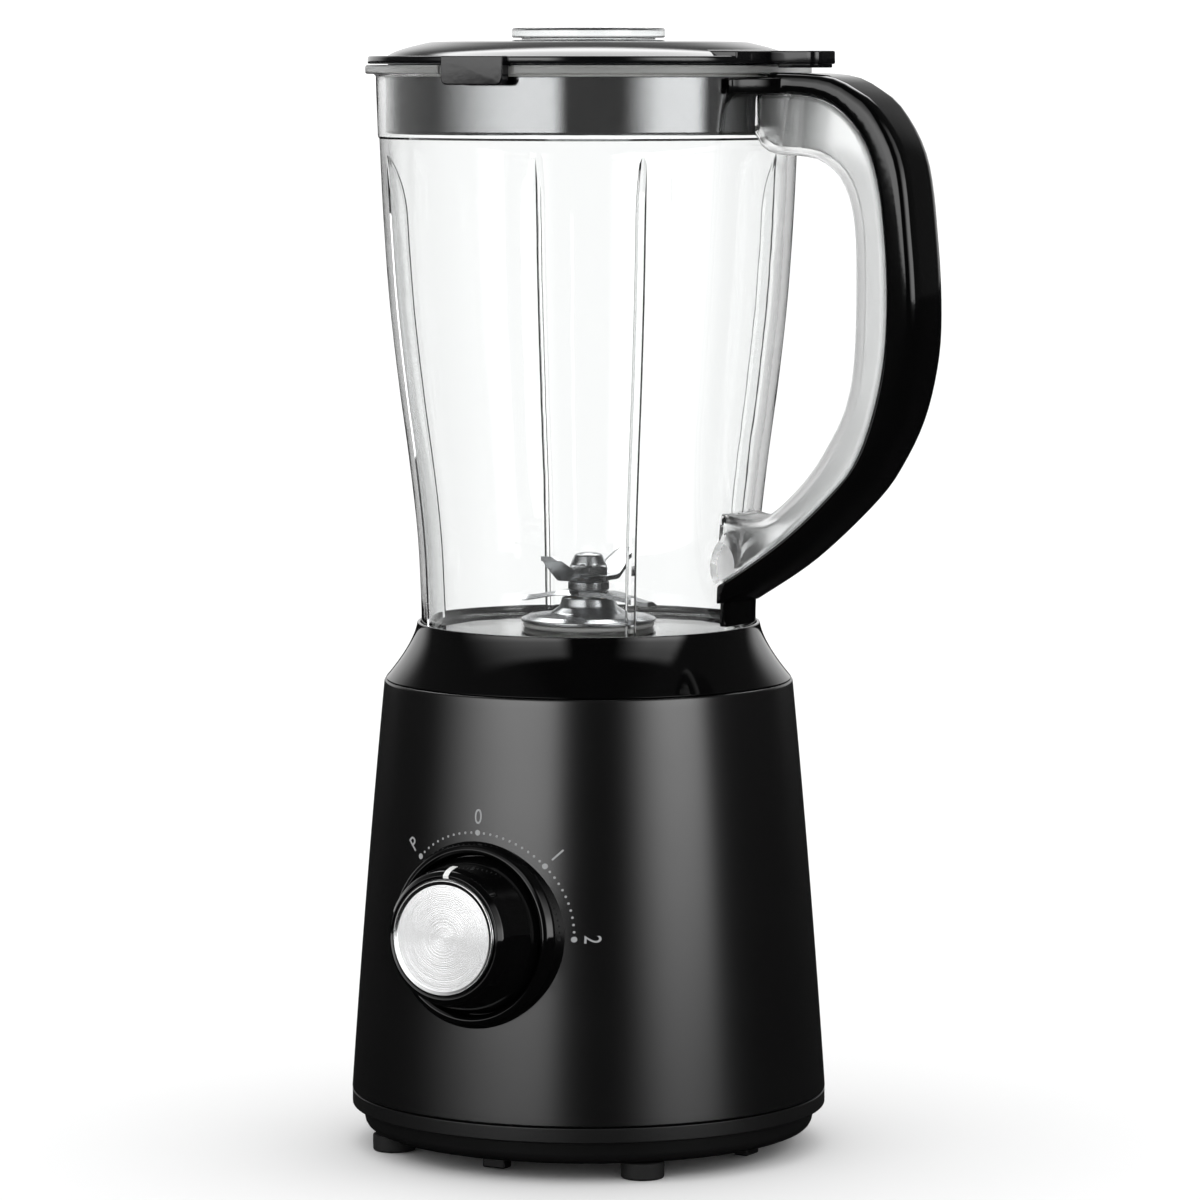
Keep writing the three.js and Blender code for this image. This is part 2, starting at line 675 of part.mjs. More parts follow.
function makeMotor(base) {
  const still = group(base);
  const { bore, windowRadius, windowHalfAngle, endTurns } = motor;

  // stator: laminations with two poles and a window on each side for the coils
  const lamination = new THREE.Shape();
  const flatAngle = Math.asin(motor.statorFlat / motor.statorRadius);
  lamination.absarc(0, 0, motor.statorRadius, -flatAngle, flatAngle, false);
  lamination.absarc(0, 0, motor.statorRadius, Math.PI - flatAngle, Math.PI + flatAngle, false);
  const opening = new THREE.Path();
  const half = radians(windowHalfAngle);
  opening.absarc(0, 0, windowRadius, -half, half, false);
  opening.absarc(0, 0, bore, half, Math.PI - half, false);
  opening.absarc(0, 0, windowRadius, Math.PI - half, Math.PI + half, false);
  opening.absarc(0, 0, bore, Math.PI + half, 2 * Math.PI - half, false);
  lamination.holes.push(opening);
  add(still, 'stator', plate(lamination, stackBottom, stackTop, 8), darkSteel);

  // field coils: two legs through the windows, bundled over the poles at both ends
  const legFrom = 8;
  const legTo = windowHalfAngle - 2;
  const coilInner = bore + 0.6;
  const coilOuter = windowRadius - 0.6;
  const coilLow = stackBottom - endTurns;
  const leg = (from, to) => plate(sector(coilInner, coilOuter, from, to), coilLow, stackTop + endTurns, 2);
  const bundle = (low) =>
    plate(sector(coilInner, coilOuter, legFrom, 180 - legFrom), low, low + endTurns - gap, 6);
  [0, 180].forEach((side, i) => {
    const legs = [leg(legFrom, legTo), leg(180 - legTo, 180 - legFrom)];
    const coil = join(...legs, bundle(stackTop + gap), bundle(coilLow));
    add(still, `field_coil_${i + 1}`, turn(coil, side), copperWire);
  });

  // brackets above and below the stator, each with a bearing and two posts
  const bearingOuter = motor.shaftRadius + motor.bearingWall;
  const makeBracket = (low, postFrom, postTo) => {
    const top = low + motor.bracket;
    const disc = tube(bearingOuter + gap, motor.mountCircle + 7, low, top, 16);
    const windowFrom = bearingOuter + 6;
    const windows = bySide(4, 0, (angle) => {
      const shape = sector(windowFrom, motor.mountCircle - 7, angle - 28, angle + 28);
      return plate(shape, low - through, top + through, 2);
    });
    const posts = [90, 270].map((angle) => {
      const [x, y] = polar(motor.postCircle - 4, angle);
      return rod(motor.postRadius, postFrom, postTo, 8).translate(x, y, 0);
    });
    return join(cut(disc, ...windows), ...posts);
  };
  const lowerPosts = makeBracket(lowerBracket, lowerBracketTop - 1, coilLow - gap);
  const upperPosts = makeBracket(upperBracket, stackTop + endTurns + gap, upperBracket + 1);
  add(still, 'lower_bracket', lowerPosts, zincSteel);
  add(still, 'upper_bracket', upperPosts, zincSteel);
  const proud = 1.5; // of the bearings past their brackets
  [['lower_bearing', lowerBracket], ['upper_bearing', upperBracket]].forEach(([name, low]) => {
    const ring = tube(motor.shaftRadius + gap, bearingOuter, low - proud, low + motor.bracket + proud);
    add(still, name, ring, bronze);
  });

  // rubber mounts between the upper bracket and the collar's well
  const mountLow = upperBracket + motor.bracket + gap;
  const mountHigh = mountLow + motor.mountHeight;
  const waist = (mountLow + mountHigh) / 2;
  bySide(4, 45, (angle, i) => {
    const [x, y] = polar(motor.mountCircle, angle);
    const mount = turned([
      [0, mountLow], [motor.mountRadius, mountLow], [motor.mountRadius, mountLow + 4],
      [motor.mountRadius - 1.5, waist], [motor.mountRadius, mountHigh - 4],
      [motor.mountRadius, mountHigh], [0, mountHigh],
    ]);
    add(still, `motor_mount_${i}`, mount, blackRubber).position.set(x, y, 0);
  });

  // brush holders stand on the lower bracket, each with its carbon
  const { commutatorRadius } = motor;
  const commutatorLow = lowerBracketTop + 2.6;
  const commutatorHigh = stackBottom - 11;
  const brushMid = (commutatorLow + commutatorHigh) / 2;
  const slotHalf = motor.brushWidth / 2;
  const holderHalf = slotHalf + 2;
  const holderInner = commutatorRadius + 3;
  const holderOuter = holderInner + 19.5;
  const carbonHalf = slotHalf - gap;
  [0, 180].forEach((side, i) => {
    const holder = cut(
      block(holderInner, holderOuter, -holderHalf, holderHalf, lowerBracketTop + gap, brushMid + 4.6),
      block(holderInner - through, holderOuter + through, -slotHalf, slotHalf,
        brushMid - slotHalf, brushMid + slotHalf),
    );
    add(still, `brush_holder_${i + 1}`, turn(holder, side), bronze);
    const carbon = block(commutatorRadius + gap, holderOuter - 8, -carbonHalf, carbonHalf,
      brushMid - carbonHalf, brushMid + carbonHalf);
    add(still, `carbon_brush_${i + 1}`, turn(carbon, side), graphite);
  });

  // rotor
  const rotor = group();
  const shaftTop = driveFace + coupling.plate - 0.8;
  add(rotor, 'motor_shaft', rod(motor.shaftRadius, fanBottom - 4, shaftTop), zincSteel);
  const hole = motor.shaftRadius + gap;
  const coreRadius = bore - motor.airGap;
  const wireSlot = motor.slotWidth / 2;
  const slotFrom = hole + 5.2;
  const coreSlots = bySide(motor.slots, 0, (angle) => {
    const slot = block(slotFrom, coreRadius + through, -wireSlot, wireSlot, stackBottom - 1, stackTop + 1);
    return turn(slot, angle);
  });
  const core = cut(tube(hole, coreRadius, stackBottom, stackTop, 20), ...coreSlots);
  add(rotor, 'armature_core', core, darkSteel);
  const wireHalf = wireSlot - gap;
  const wires = bySide(motor.slots, 0, (angle) => {
    const outer = coreRadius - 1.4;
    return turn(block(slotFrom + gap, outer, -wireHalf, wireHalf, stackBottom - 4, stackTop + 4), angle);
  });
  const endTurn = (low, high) => tube(hole + 1.5, coreRadius - 2.4, low, high, round);
  const winding = join(...wires, endTurn(stackTop + gap, stackTop + endTurns + 1),
    endTurn(stackBottom - endTurns - 1, stackBottom - gap));
  add(rotor, 'armature_winding', winding, copperWire);
  const riserRadius = commutatorRadius + 1.5;
  const riserTop = commutatorHigh + 1.6;
  add(rotor, 'commutator', turned([
    [hole, commutatorLow], [commutatorRadius, commutatorLow], [commutatorRadius, commutatorHigh],
    [riserRadius, commutatorHigh], [riserRadius, riserTop], [hole, riserTop],
  ], small), copperBar);
  const hub = hole + 4.7;
  const vanes = bySide(motor.fanVanes, 0, (angle) =>
    turn(block(hub - 0.5, motor.fanRadius, -0.8, 0.8, fanBottom, fanTop - 1), angle));
  const fanDisc = tube(hole, motor.fanRadius, fanTop - 1.8, fanTop, 18);
  add(rotor, 'cooling_fan', join(fanDisc, tube(hole, hub, fanBottom, fanTop - 1), ...vanes), mattBlack);

  // lower half of the dog coupling
  add(rotor, 'drive_coupling', makeCoupling(driveFace, 1, 0, motor.shaftRadius), mattBlack);
}

// Half of the coupling: a plate with a blind bore for its shaft and a ring of dogs.
function makeCoupling(plateFace, direction, startAngle, shaftRadius) {
  const between = (from, to) =>
    [plateFace + direction * from, plateFace + direction * to].sort((a, b) => a - b);
  const { plate: thick, dogHeight, radius } = coupling;
  const half = 90 / coupling.dogs - 2;
  const [dogLow, dogHigh] = between(thick - 0.5, thick + dogHeight);
  const dogs = bySide(coupling.dogs, startAngle, (angle) =>
    plate(sector(coupling.dogInner, radius - 0.3, angle - half, angle + half), dogLow, dogHigh, 2));
  const body = join(rod(radius, ...between(0, thick), round), ...dogs);
  return cut(body, rod(shaftRadius + gap, ...between(-through, thick - 0.5)));
}

// ---------------------------------------------------------------- jar interlock

function makeInterlock(base) {
  const { radius, wire, turns, spring } = interlock;
  const fixed = group(base);
  fixed.position.x = pinCircle;
  const flangeLow = platform - 12;
  const seat = flangeLow - spring - gap;
  const plungerTop = seat - 1.2;
  const body = join(
    block(-6, 5, -10, 10, plungerTop - 14, plungerTop - 2),
    block(-4, 2, -10, -6.5, plungerTop - 3, platform - gap),
    block(-4, 2, 6.5, 10, plungerTop - 3, platform - gap),
    block(-4, 2, -10, 10, plungerTop - 3, seat),
  );
  const plungerHole = rod(radius + slipGap, plungerTop - 6, seat + through);
  add(fixed, 'micro_switch', cut(body, plungerHole), redPlastic);

  const coil = new THREE.Curve();
  const coilRadius = radius + slipGap + wire;
  const coilLow = seat + gap + wire / 2;
  const coilHigh = flangeLow - gap - wire / 2;
  coil.getPoint = (t, target = new THREE.Vector3()) => {
    const a = 2 * Math.PI * turns * t;
    return target.set(coilRadius * Math.cos(a), coilRadius * Math.sin(a), lerp(coilLow, coilHigh, t));
  };
  const section = new THREE.Shape();
  section.absarc(0, 0, wire / 2, 0, 2 * Math.PI, false);
  const wound = new THREE.ExtrudeGeometry(section, {
    steps: turns * 7,
    extrudePath: coil,
    bevelEnabled: false,
    curveSegments: 2,
  });
  add(fixed, 'interlock_spring', wound, zincSteel);

  const moving = group();
  moving.position.x = pinCircle;
  const pinTop = skirtBottom - gap;
  const flangeHigh = flangeLow + 1.5;
  add(moving, 'interlock_pin', turned([
    [0, plungerTop - 4], [radius, plungerTop - 4], [radius, flangeLow], [radius + 2, flangeLow],
    [radius + 2, flangeHigh], [radius, flangeHigh], [radius, pinTop], [0, pinTop],
  ], 16), whitePlastic);
}

// ---------------------------------------------------------------- jar

function makeJar() {
  const vessel = group();
  const floorBottom = jarFloor - jar.floor;
  const wall = turned([
    [jar.bottomRadius - jar.skirtWall, skirtBottom],
    [jar.bottomRadius, skirtBottom],
    ...corners(wallRings),
    [jar.stepRadius + 0.5, stepHeight + 0.4],
    [rimRadius, rimBottom - 0.6],
    [rimRadius + 0.6, rimBottom],
    [jarFlange - 0.5, rimBottom],
    [jarFlange, rimBottom + 0.5],
    [jarFlange, rimTop - 0.5],
    [jarFlange - 0.5, rimTop],
    [boreAtRim, rimTop],
    [boreAtRim, boreStep],
    ...wallRings.map((p) => [p.x - jar.wall, p.y]).reverse(),
    [jar.bottomRadius - jar.wall - 0.6, jarFloor + 2.4],
    [jar.bottomRadius - jar.wall - 3, jarFloor],
    [jar.holeRadius, jarFloor],
    [jar.holeRadius, floorBottom],
    [jar.bottomRadius - jar.skirtWall, floorBottom],
  ]);

  // ribs on the inside, which turn the food back to the blades
  const ribHeights = [0, 0.25, 0.5, 0.75, 1].map((t) => lerp(jarFloor - 1, ribTop, t));
  const ribShape = outline([
    ...ribHeights.map((z) => [jarRadius(z) - jar.wall / 2, z]),
    ...ribHeights.slice(0, -1).map((z) => [jarRadius(z) - jar.wall - jar.ribDepth, z]).reverse(),
  ]);
  const ribs = bySide(4, 45, (angle) => turn(upright(ribShape, jar.ribWidth), angle));

  // clear channel of the handle, open towards the grip, with a wider pad at its lower root
  const seam = beside(gripSeam, -gap);
  const channel = upright(outline([...seam, ...beside(channelFront, 0).reverse()]), handle.width, 1.2);
  const pocketShape = outline([...beside(gripSeam, 3), ...beside(channelFront, handle.wall).reverse()]);
  const pocket = upright(pocketShape, handle.width - 2 * handle.wall);
  const root = new THREE.SphereGeometry(1, 14, 8);
  root.scale(11, handle.width * 0.68, 15).translate(jar.bottomRadius - 1, 0, handleFoot + 10);
  const jarSide = outline([...seam, [20, handleHead], [20, seam[0][1]]]);
  const rootPad = common(root, upright(jarSide, 80));
  const grown = cut(join(cut(channel, pocket), rootPad), jarHollow());

  // notches in the rim flange for the lid's hanging tabs
  const notchHalf = lid.tabWidth / 2 + lid.notchGap;
  const notches = [0, 180].map((side) => turn(
    block(-notchHalf, notchHalf, -jarFlange - 5, -rimRadius - 0.4, rimBottom - through, rimTop + through),
    side,
  ));
  add(vessel, 'jar', cut(join(wall, ...ribs, grown), ...notches), clearPlastic);

  // black grip: its back curve, its seam, a tail down the wall and a flared upper end
  const gripShape = outline([...beside(gripBack, 0), ...beside(gripSeam, 0).reverse()]);
  const gripBody = upright(gripShape, handle.width, handle.rounding);
  const tailHalf = handle.tailWidth / 2;
  const tail = block(jar.bottomRadius - 6, jar.bottomRadius + 2.6, -tailHalf, tailHalf,
    waistTop - 2.6, handleFoot - 2);
  const flareInner = Math.sqrt(rimRadius ** 2 - handle.flare ** 2) + 1.5;
  const flareOuter = rimRadius + handle.flareLength;
  const flareBend = rimRadius + 2;
  const halfWidth = handle.width / 2;
  const flareShape = new THREE.Shape();
  flareShape.moveTo(40, -handle.flare);
  flareShape.lineTo(flareInner, -handle.flare);
  flareShape.quadraticCurveTo(flareBend, -halfWidth - 1.5, flareOuter, 2 - halfWidth);
  flareShape.lineTo(flareOuter, halfWidth - 2);
  flareShape.quadraticCurveTo(flareBend, halfWidth + 1.5, flareInner, handle.flare);
  flareShape.lineTo(40, handle.flare);
  const flare = plate(flareShape, handleHead + gap, rimBottom - 1.2, 6);
  const clearOfFlange = rod(jarFlange + gap, rimBottom - 3 * gap, rimTop + through, round);
  const grip = cut(join(gripBody, tail, flare), jarEnvelope(gap), clearOfFlange);
  add(vessel, 'handle_grip', grip, glossBlack);

  return vessel;
}

// ---------------------------------------------------------------- blade unit

function makeBladeUnit(vessel) {
  const seat = jarFloor + gap;
  const flange = seat + blade.seal + gap;
  const neck = jar.holeRadius - gap;
  const bushRadius = blade.boltRadius + 3;
  const bore = bushRadius + gap;
  const drivenFace = driveFace + 2 * coupling.plate + coupling.dogHeight + slipGap;
  const neckBottom = drivenFace + 0.8;
  const bossTop = flange + blade.boss;
  const under = jarFloor - jar.floor;

  add(vessel, 'blade_holder', turned([
    [bore, neckBottom], [neck - 0.8, neckBottom], [neck, neckBottom + 0.8], [neck, flange],
    [blade.holderRadius, flange], [blade.holderRadius, flange + 1],
    [blade.holderRadius - 3, flange + 2.6], [bore + 4.7, flange + 3.8], [bore + 2.3, flange + 5.5],
    [bore + 1.7, bossTop], [bore, bossTop],
  ]), bladeSteel);
  const sealRing = tube(jar.holeRadius, blade.holderRadius - 0.6, seat, seat + blade.seal, round);
  add(vessel, 'blade_seal', sealRing, clearRubber);
  const nutHigh = under - gap;
  const nutLow = neckBottom + 1.2;
  const nutRadius = jar.holeRadius + 8.8;
  const lobes = bySide(6, 0, (angle) =>
    turn(block(nutRadius - 2, nutRadius + 3, -2.5, 2.5, nutLow, nutHigh), angle));
  const nutRing = tube(jar.holeRadius, nutRadius, nutLow, nutHigh, round);
  add(vessel, 'holder_nut', join(nutRing, ...lobes), mattBlack);
  const boltHoleRadius = blade.boltRadius + gap;
  const bush = (low, high) => tube(boltHoleRadius, bushRadius, low, high);
  add(vessel, 'upper_bush', bush(bossTop - 8, bossTop - 0.4), bronze);
  add(vessel, 'lower_bush', bush(neckBottom + 0.4, neckBottom + 7), bronze);

  const set = group();
  const lowBlade = bossTop + 0.6;
  const spacerLow = lowBlade + blade.thick + gap;
  const highBlade = spacerLow + blade.spacer + gap;
  const nutBase = highBlade + blade.thick + gap;
  const shaftTop = nutBase + 4.1;
  const boltHole = rod(boltHoleRadius, lowBlade - through, shaftTop);
  const shaft = rod(blade.boltRadius, drivenFace - coupling.plate + 0.8, shaftTop);
  add(set, 'blade_shaft', shaft, zincSteel);
  add(set, 'lower_blade', cut(bladePair(lowBlade, -3), boltHole), bladeSteel);
  const spacer = tube(boltHoleRadius, bushRadius, spacerLow, spacerLow + blade.spacer);
  add(set, 'blade_spacer', spacer, bladeSteel);
  add(set, 'upper_blade', cut(turn(bladePair(highBlade, 9), 90), boltHole), bladeSteel);
  const crown = shaftTop + 3.5;
  const hexTop = nutBase + 3.4;
  const crownRadius = boltHoleRadius + 1.7;
  const dome = turned([
    [0, hexTop - 1], [crownRadius, hexTop - 1], [crownRadius - 0.2, crown - 2.4],
    [crownRadius - 1.8, crown - 0.8], [2, crown - 0.1], [0, crown],
  ]);
  const threaded = rod(boltHoleRadius, nutBase - through, shaftTop + gap);
  const nut = cut(join(rod(crownRadius + 1.4, nutBase, hexTop, 6), dome), threaded);
  add(set, 'acorn_nut', nut, bladeSteel);
  const drivenCoupling = makeCoupling(drivenFace, -1, 180 / coupling.dogs, blade.boltRadius);
  add(set, 'driven_coupling', drivenCoupling, mattBlack);
}

// Two bent arms in one strip, seen from above as a swept leaf.
function bladePair(low, bend) {
  const { span, width, thick } = blade;
  const knee = span * 0.44;
  const line = [[-span - 1, bend], [-knee, 0], [knee, 0], [span + 1, bend]];
  const strip = upright(outline([
    ...line.map(([x, z]) => [x, low + z]),
    ...line.map(([x, z]) => [x, low + z + thick]).reverse(),
  ]), width + 8);
  const arm = [[span, -width * 0.3], [span - 3, width * 0.3], [knee, width * 0.5], [0, width * 0.65]];
  const leaf = outline([...arm, ...arm.map(([x, y]) => [-x, -y])]);
  return common(strip, plate(leaf, low - span, low + span));
}

// ---------------------------------------------------------------- lid and filler cup

const cupHole = cup.neckRadius + slipGap;
const lidRadius = jarFlange - lid.inset;
const lidUnder = rimTop + gap;
const flangeTop = lidUnder + lid.flange;
const domeTop = flangeTop + lid.rise;
const bandRadius = boreAtRim - 0.5;
const plugRadius = bandRadius - lid.band - gap;

function roundedRect(halfWidth, low, high, radius) {
  const shape = new THREE.Shape();
  shape.moveTo(-halfWidth, high);
  shape.lineTo(-halfWidth, low + radius);
  shape.absarc(-halfWidth + radius, low + radius, radius, Math.PI, 1.5 * Math.PI, false);
  shape.absarc(halfWidth - radius, low + radius, radius, 1.5 * Math.PI, 2 * Math.PI, false);
  shape.lineTo(halfWidth, high);
  return shape;
}

function makeLid() {
  const cover = group();
  const plugLow = lidUnder - lid.plugDepth;
  const plugInner = plugRadius - lid.plugWall;
  const dome = turned([
    [cupHole, domeTop + 0.4],
    [cupHole + 2.5, domeTop + 0.4],
    [cupHole + 3.5, domeTop],
    [lidRadius * 0.7, domeTop - 0.3],
    [lidRadius * 0.755, domeTop - 1.1],
    [lidRadius * 0.825, domeTop - 2.4],
    [lidRadius * 0.88, domeTop - 3.7],
    [lidRadius * 0.91, flangeTop],
    [lidRadius - 0.5, flangeTop],
    [lidRadius, flangeTop - 0.5],
    [lidRadius, lidUnder + 0.5],
    [lidRadius - 0.5, lidUnder],
    [plugRadius, lidUnder],
    [plugRadius, plugLow + 0.5],
    [plugRadius - 0.5, plugLow],
    [plugInner, plugLow],
    [plugInner, lidUnder],
    [lidRadius * 0.8, domeTop - 2.4 - lid.wall],
    [lidRadius * 0.7, domeTop - 0.6 - lid.wall],
    [cupHole + 2.2, domeTop - 0.4 - lid.wall],
    [cupHole + 2.2, lidUnder - 3],
    [cupHole, lidUnder - 3],
  ]);
  const tabOutline = roundedRect(lid.tabWidth / 2, lidUnder - lid.tabDrop, flangeTop, 2);
  const tabInner = rimRadius + 0.5;
  const tabOuter = jarFlange + lid.tabReach;
  const tabs = [0, 180].map((side) => turn(
    upright(tabOutline, tabOuter - tabInner).translate(0, -(tabOuter + tabInner) / 2, 0), side,
  ));

  // raised pad towards the handle, and the tab that covers the handle's upper end
  const padTop = domeTop - lid.padDrop;
  const padHalf = lid.padWidth / 2;
  const padInner = lidRadius - lid.padDepth;
  const padAngle = Math.asin(padHalf / lidRadius);
  const padShape = new THREE.Shape();
  padShape.moveTo(padInner, -padHalf);
  padShape.absarc(0, 0, lidRadius, -padAngle, padAngle, false);
  padShape.lineTo(padInner, padHalf);
  const tabHalf = lid.handleTabWidth / 2;
  const tabEnd = jarFlange + lid.handleTabReach;
  const corner = 4;
  const handleTab = new THREE.Shape();
  handleTab.moveTo(lidRadius - 6, -tabHalf);
  handleTab.absarc(tabEnd - corner, corner - tabHalf, corner, -Math.PI / 2, 0, false);
  handleTab.absarc(tabEnd - corner, tabHalf - corner, corner, 0, Math.PI / 2, false);
  handleTab.lineTo(lidRadius - 6, tabHalf);
  const lip = cut(
    plate(handleTab, lidUnder - 1.2, lidUnder + 1, 4),
    rod(jarFlange + 0.8, lidUnder - 2, lidUnder, round),
  );
  const pad = plate(padShape, lidUnder + 0.6, padTop, 10);
  const tabPlate = plate(handleTab, lidUnder, padTop, 4);
  add(cover, 'lid', join(dome, ...tabs, pad, tabPlate, lip), smokyPlastic);

  const bandTop = rimBottom - lid.bandDrop;
  const bandInner = plugRadius + gap;
  const band = tube(bandInner, bandRadius, bandTop - lid.bandHeight, bandTop, round);
  add(cover, 'lid_band', band, mirrorSteel);
  const seal = tube(bandInner, bandRadius + 0.2, bandTop + 0.5, lidUnder - 2 * gap, round);
  add(cover, 'lid_seal', seal, clearRubber);
}

function makeCup() {
  const measure = group();
  const radius = cup.neckRadius + cup.lip;
  const discLow = domeTop + 0.4 + gap + 0.4;
  const discTop = discLow + cup.disc;
  const lowEnd = discLow - cup.depth;
  add(measure, 'measuring_cup', turned([
    [0, discTop - cup.rim],
    [radius - 2.4, discTop - cup.rim],
    [radius - 1.6, discTop],
    [radius - 0.7, discTop],
    [radius, discTop - 0.8],
    [radius, discLow + 0.6],
    [radius - 0.6, discLow],
    [cup.neckRadius, discLow],
    [cup.neckRadius, lowEnd + 0.5],
    [cup.neckRadius - 0.5, lowEnd],
    [cup.neckRadius - cup.wall, lowEnd],
    [cup.neckRadius - cup.wall, discTop - cup.rim - 2],
    [0, discTop - cup.rim - 2],
  ]), clearPlastic);
}

// ---------------------------------------------------------------- assembly

const base = makeBase();
makeControl(base);
makeMotor(base);
makeInterlock(base);
makeBladeUnit(makeJar());
makeLid();
makeCup();

// Origin at the middle of the bottom of the bounding box.
blender.updateMatrixWorld(true);
const bounds = new THREE.Box3().setFromObject(blender, true);
const middle = bounds.getCenter(new THREE.Vector3());
blender.position.set(-middle.x, -middle.y, -bounds.min.z);

export default blender;
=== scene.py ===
# A countertop blender: a tapered motor base with a speed knob, and a clear jar with a side handle.
# Pieces are drawn in millimetres from the machine's own axis and moved into the frame at the end.
import json
import math
import bmesh
import bpy
from mathutils import Matrix, Vector


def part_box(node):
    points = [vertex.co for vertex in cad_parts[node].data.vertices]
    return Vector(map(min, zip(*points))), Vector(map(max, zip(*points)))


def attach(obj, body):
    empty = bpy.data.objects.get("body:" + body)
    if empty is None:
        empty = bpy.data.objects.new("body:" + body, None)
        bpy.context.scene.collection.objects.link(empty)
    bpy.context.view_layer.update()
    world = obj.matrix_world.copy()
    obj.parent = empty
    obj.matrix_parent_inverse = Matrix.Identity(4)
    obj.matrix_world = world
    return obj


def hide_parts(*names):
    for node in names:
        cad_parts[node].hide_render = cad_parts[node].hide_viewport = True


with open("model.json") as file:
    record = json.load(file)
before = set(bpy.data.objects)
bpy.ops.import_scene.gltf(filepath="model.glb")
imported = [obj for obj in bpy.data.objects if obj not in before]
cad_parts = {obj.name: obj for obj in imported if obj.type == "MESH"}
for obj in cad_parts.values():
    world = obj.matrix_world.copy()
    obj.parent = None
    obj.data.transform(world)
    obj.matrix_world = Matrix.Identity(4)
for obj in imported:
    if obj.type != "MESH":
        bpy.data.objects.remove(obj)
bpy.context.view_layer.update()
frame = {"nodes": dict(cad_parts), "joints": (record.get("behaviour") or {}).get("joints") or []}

scene = bpy.context.scene
mm = 0.001
housingLow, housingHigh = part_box("housing")
machineAxis = Vector(((housingLow.x + housingHigh.x) / 2, (housingLow.y + housingHigh.y) / 2, 0))
toFrame = Matrix.Translation(machineAxis) @ Matrix.Scale(mm, 4)
turnedFaces = 144  # faces round a large turned piece
smallFaces = 64  # faces round a small one

view = {
    "distance": 1.916,  # from the machine's axis, along the floor
    "height": 0.3681,
    "side": 29.87,  # degrees round from the front towards the handle
    "down": 5.43,
    "aside": 0.116,  # the machine stands a little left of the middle
    "lens": 169.82,
}


def makeCamera():
    camera = bpy.data.objects.new("camera", bpy.data.cameras.new("camera"))
    scene.collection.objects.link(camera)
    side = math.radians(view["side"])
    camera.location = machineAxis + Vector((
        view["distance"] * math.sin(side), -view["distance"] * math.cos(side), view["height"]))
    camera.rotation_euler = (math.radians(90 - view["down"]), 0, math.radians(view["side"] - view["aside"]))
    camera.data.lens = view["lens"]
    camera.data.sensor_width = 36
    camera.data.clip_start = 0.01
    scene.camera = camera


makeCamera()
print("camera placed")


# sizes read from the frame

class Span:  # a node's box in millimetres, measured from the machine's axis
    def __init__(self, node):
        low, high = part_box(node)
        self.low = (low - machineAxis) / mm
        self.high = (high - machineAxis) / mm
        self.radius = (self.high.x - self.low.x) / 2
        self.bottom = self.low.z
        self.top = self.high.z
        self.middle = (self.low + self.high) / 2


def jointNamed(name):
    return next(joint for joint in frame["joints"] if joint["name"] == name)


knobJoint = jointNamed("knob_turn")
dialOut = -Vector(knobJoint["axis"])
dialCentre = (Vector(knobJoint["pos_m"]) - machineAxis) / mm
dialUp = dialOut.cross(Vector((1, 0, 0))).normalized()
dialMatrix = Matrix((
    (1, dialUp.x, dialOut.x, dialCentre.x),
    (0, dialUp.y, dialOut.y, dialCentre.y),
    (0, dialUp.z, dialOut.z, dialCentre.z),
    (0, 0, 0, 1),
))


# mesh tools

def newPiece(name, mesh):
    piece = bpy.data.objects.new(name, mesh)
    scene.collection.objects.link(piece)
    return piece


def fromFaces(name, points, faces):
    mesh = bpy.data.meshes.new(name)
    mesh.from_pydata([tuple(p) for p in points], [], faces)
    tidy = bmesh.new()
    tidy.from_mesh(mesh)
    bmesh.ops.recalc_face_normals(tidy, faces=tidy.faces)
    tidy.to_mesh(mesh)
    tidy.free()
    return newPiece(name, mesh)


def filleted(profile, closedLine):
    # each corner is (radius, height) or (radius, height, fillet); a fillet becomes a short curve
    line = []
    count = len(profile)
    steps = 5
    for i, corner in enumerate(profile):
        here = Vector(corner[:2])
        fillet = corner[2] if len(corner) > 2 else 0
        if fillet == 0 or (not closedLine and i in (0, count - 1)):
            line.append(here)
            continue
        before = Vector(profile[i - 1][:2]) - here
        after = Vector(profile[(i + 1) % count][:2]) - here
        reach = fillet / math.tan(before.angle(after) / 2)
        reach = min(reach, before.length * 0.48, after.length * 0.48)
        start = here + before.normalized() * reach
        end = here + after.normalized() * reach
        for k in range(steps + 1):
            t = k / steps
            line.append(start * (1 - t) ** 2 + here * 2 * t * (1 - t) + end * t ** 2)
    return line


def turned(name, profile, faces=turnedFaces, matrix=None):
    # a profile that starts on the axis ends on it too; any other closes on itself
    onAxis = profile[0][0] == 0
    line = filleted(profile, not onAxis)
    points = []
    rings = []
    for spot in line:
        if spot.x < 1e-6:
            rings.append([len(points)] * faces)
            points.append(Vector((0, 0, spot.y)))
            continue
        rings.append([len(points) + k for k in range(faces)])
        for k in range(faces):
            angle = 2 * math.pi * k / faces
            points.append(Vector((spot.x * math.cos(angle), spot.x * math.sin(angle), spot.y)))
    pairs = list(zip(rings, rings[1:]))
    if not onAxis:
        pairs.append((rings[-1], rings[0]))
    polygons = []
    for lower, upper in pairs:
        for k in range(faces):
            corners = [lower[k], lower[(k + 1) % faces], upper[(k + 1) % faces], upper[k]]
            kept = list(dict.fromkeys(corners))
            if len(kept) > 2:
                polygons.append(kept)
    if matrix:
        points = [matrix @ p for p in points]
    return fromFaces(name, points, polygons)


def lofted(name, loops):
    # skin over loops of the same number of points, closed at both ends
    count = len(loops[0])
    points = [p for loop in loops for p in loop]
    polygons = [list(range(count)), list(range(len(points) - count, len(points)))]
    for i in range(len(loops) - 1):
        for k in range(count):
            a = i * count + k
            b = i * count + (k + 1) % count
            polygons.append([a, b, b + count, a + count])
    return fromFaces(name, points, polygons)


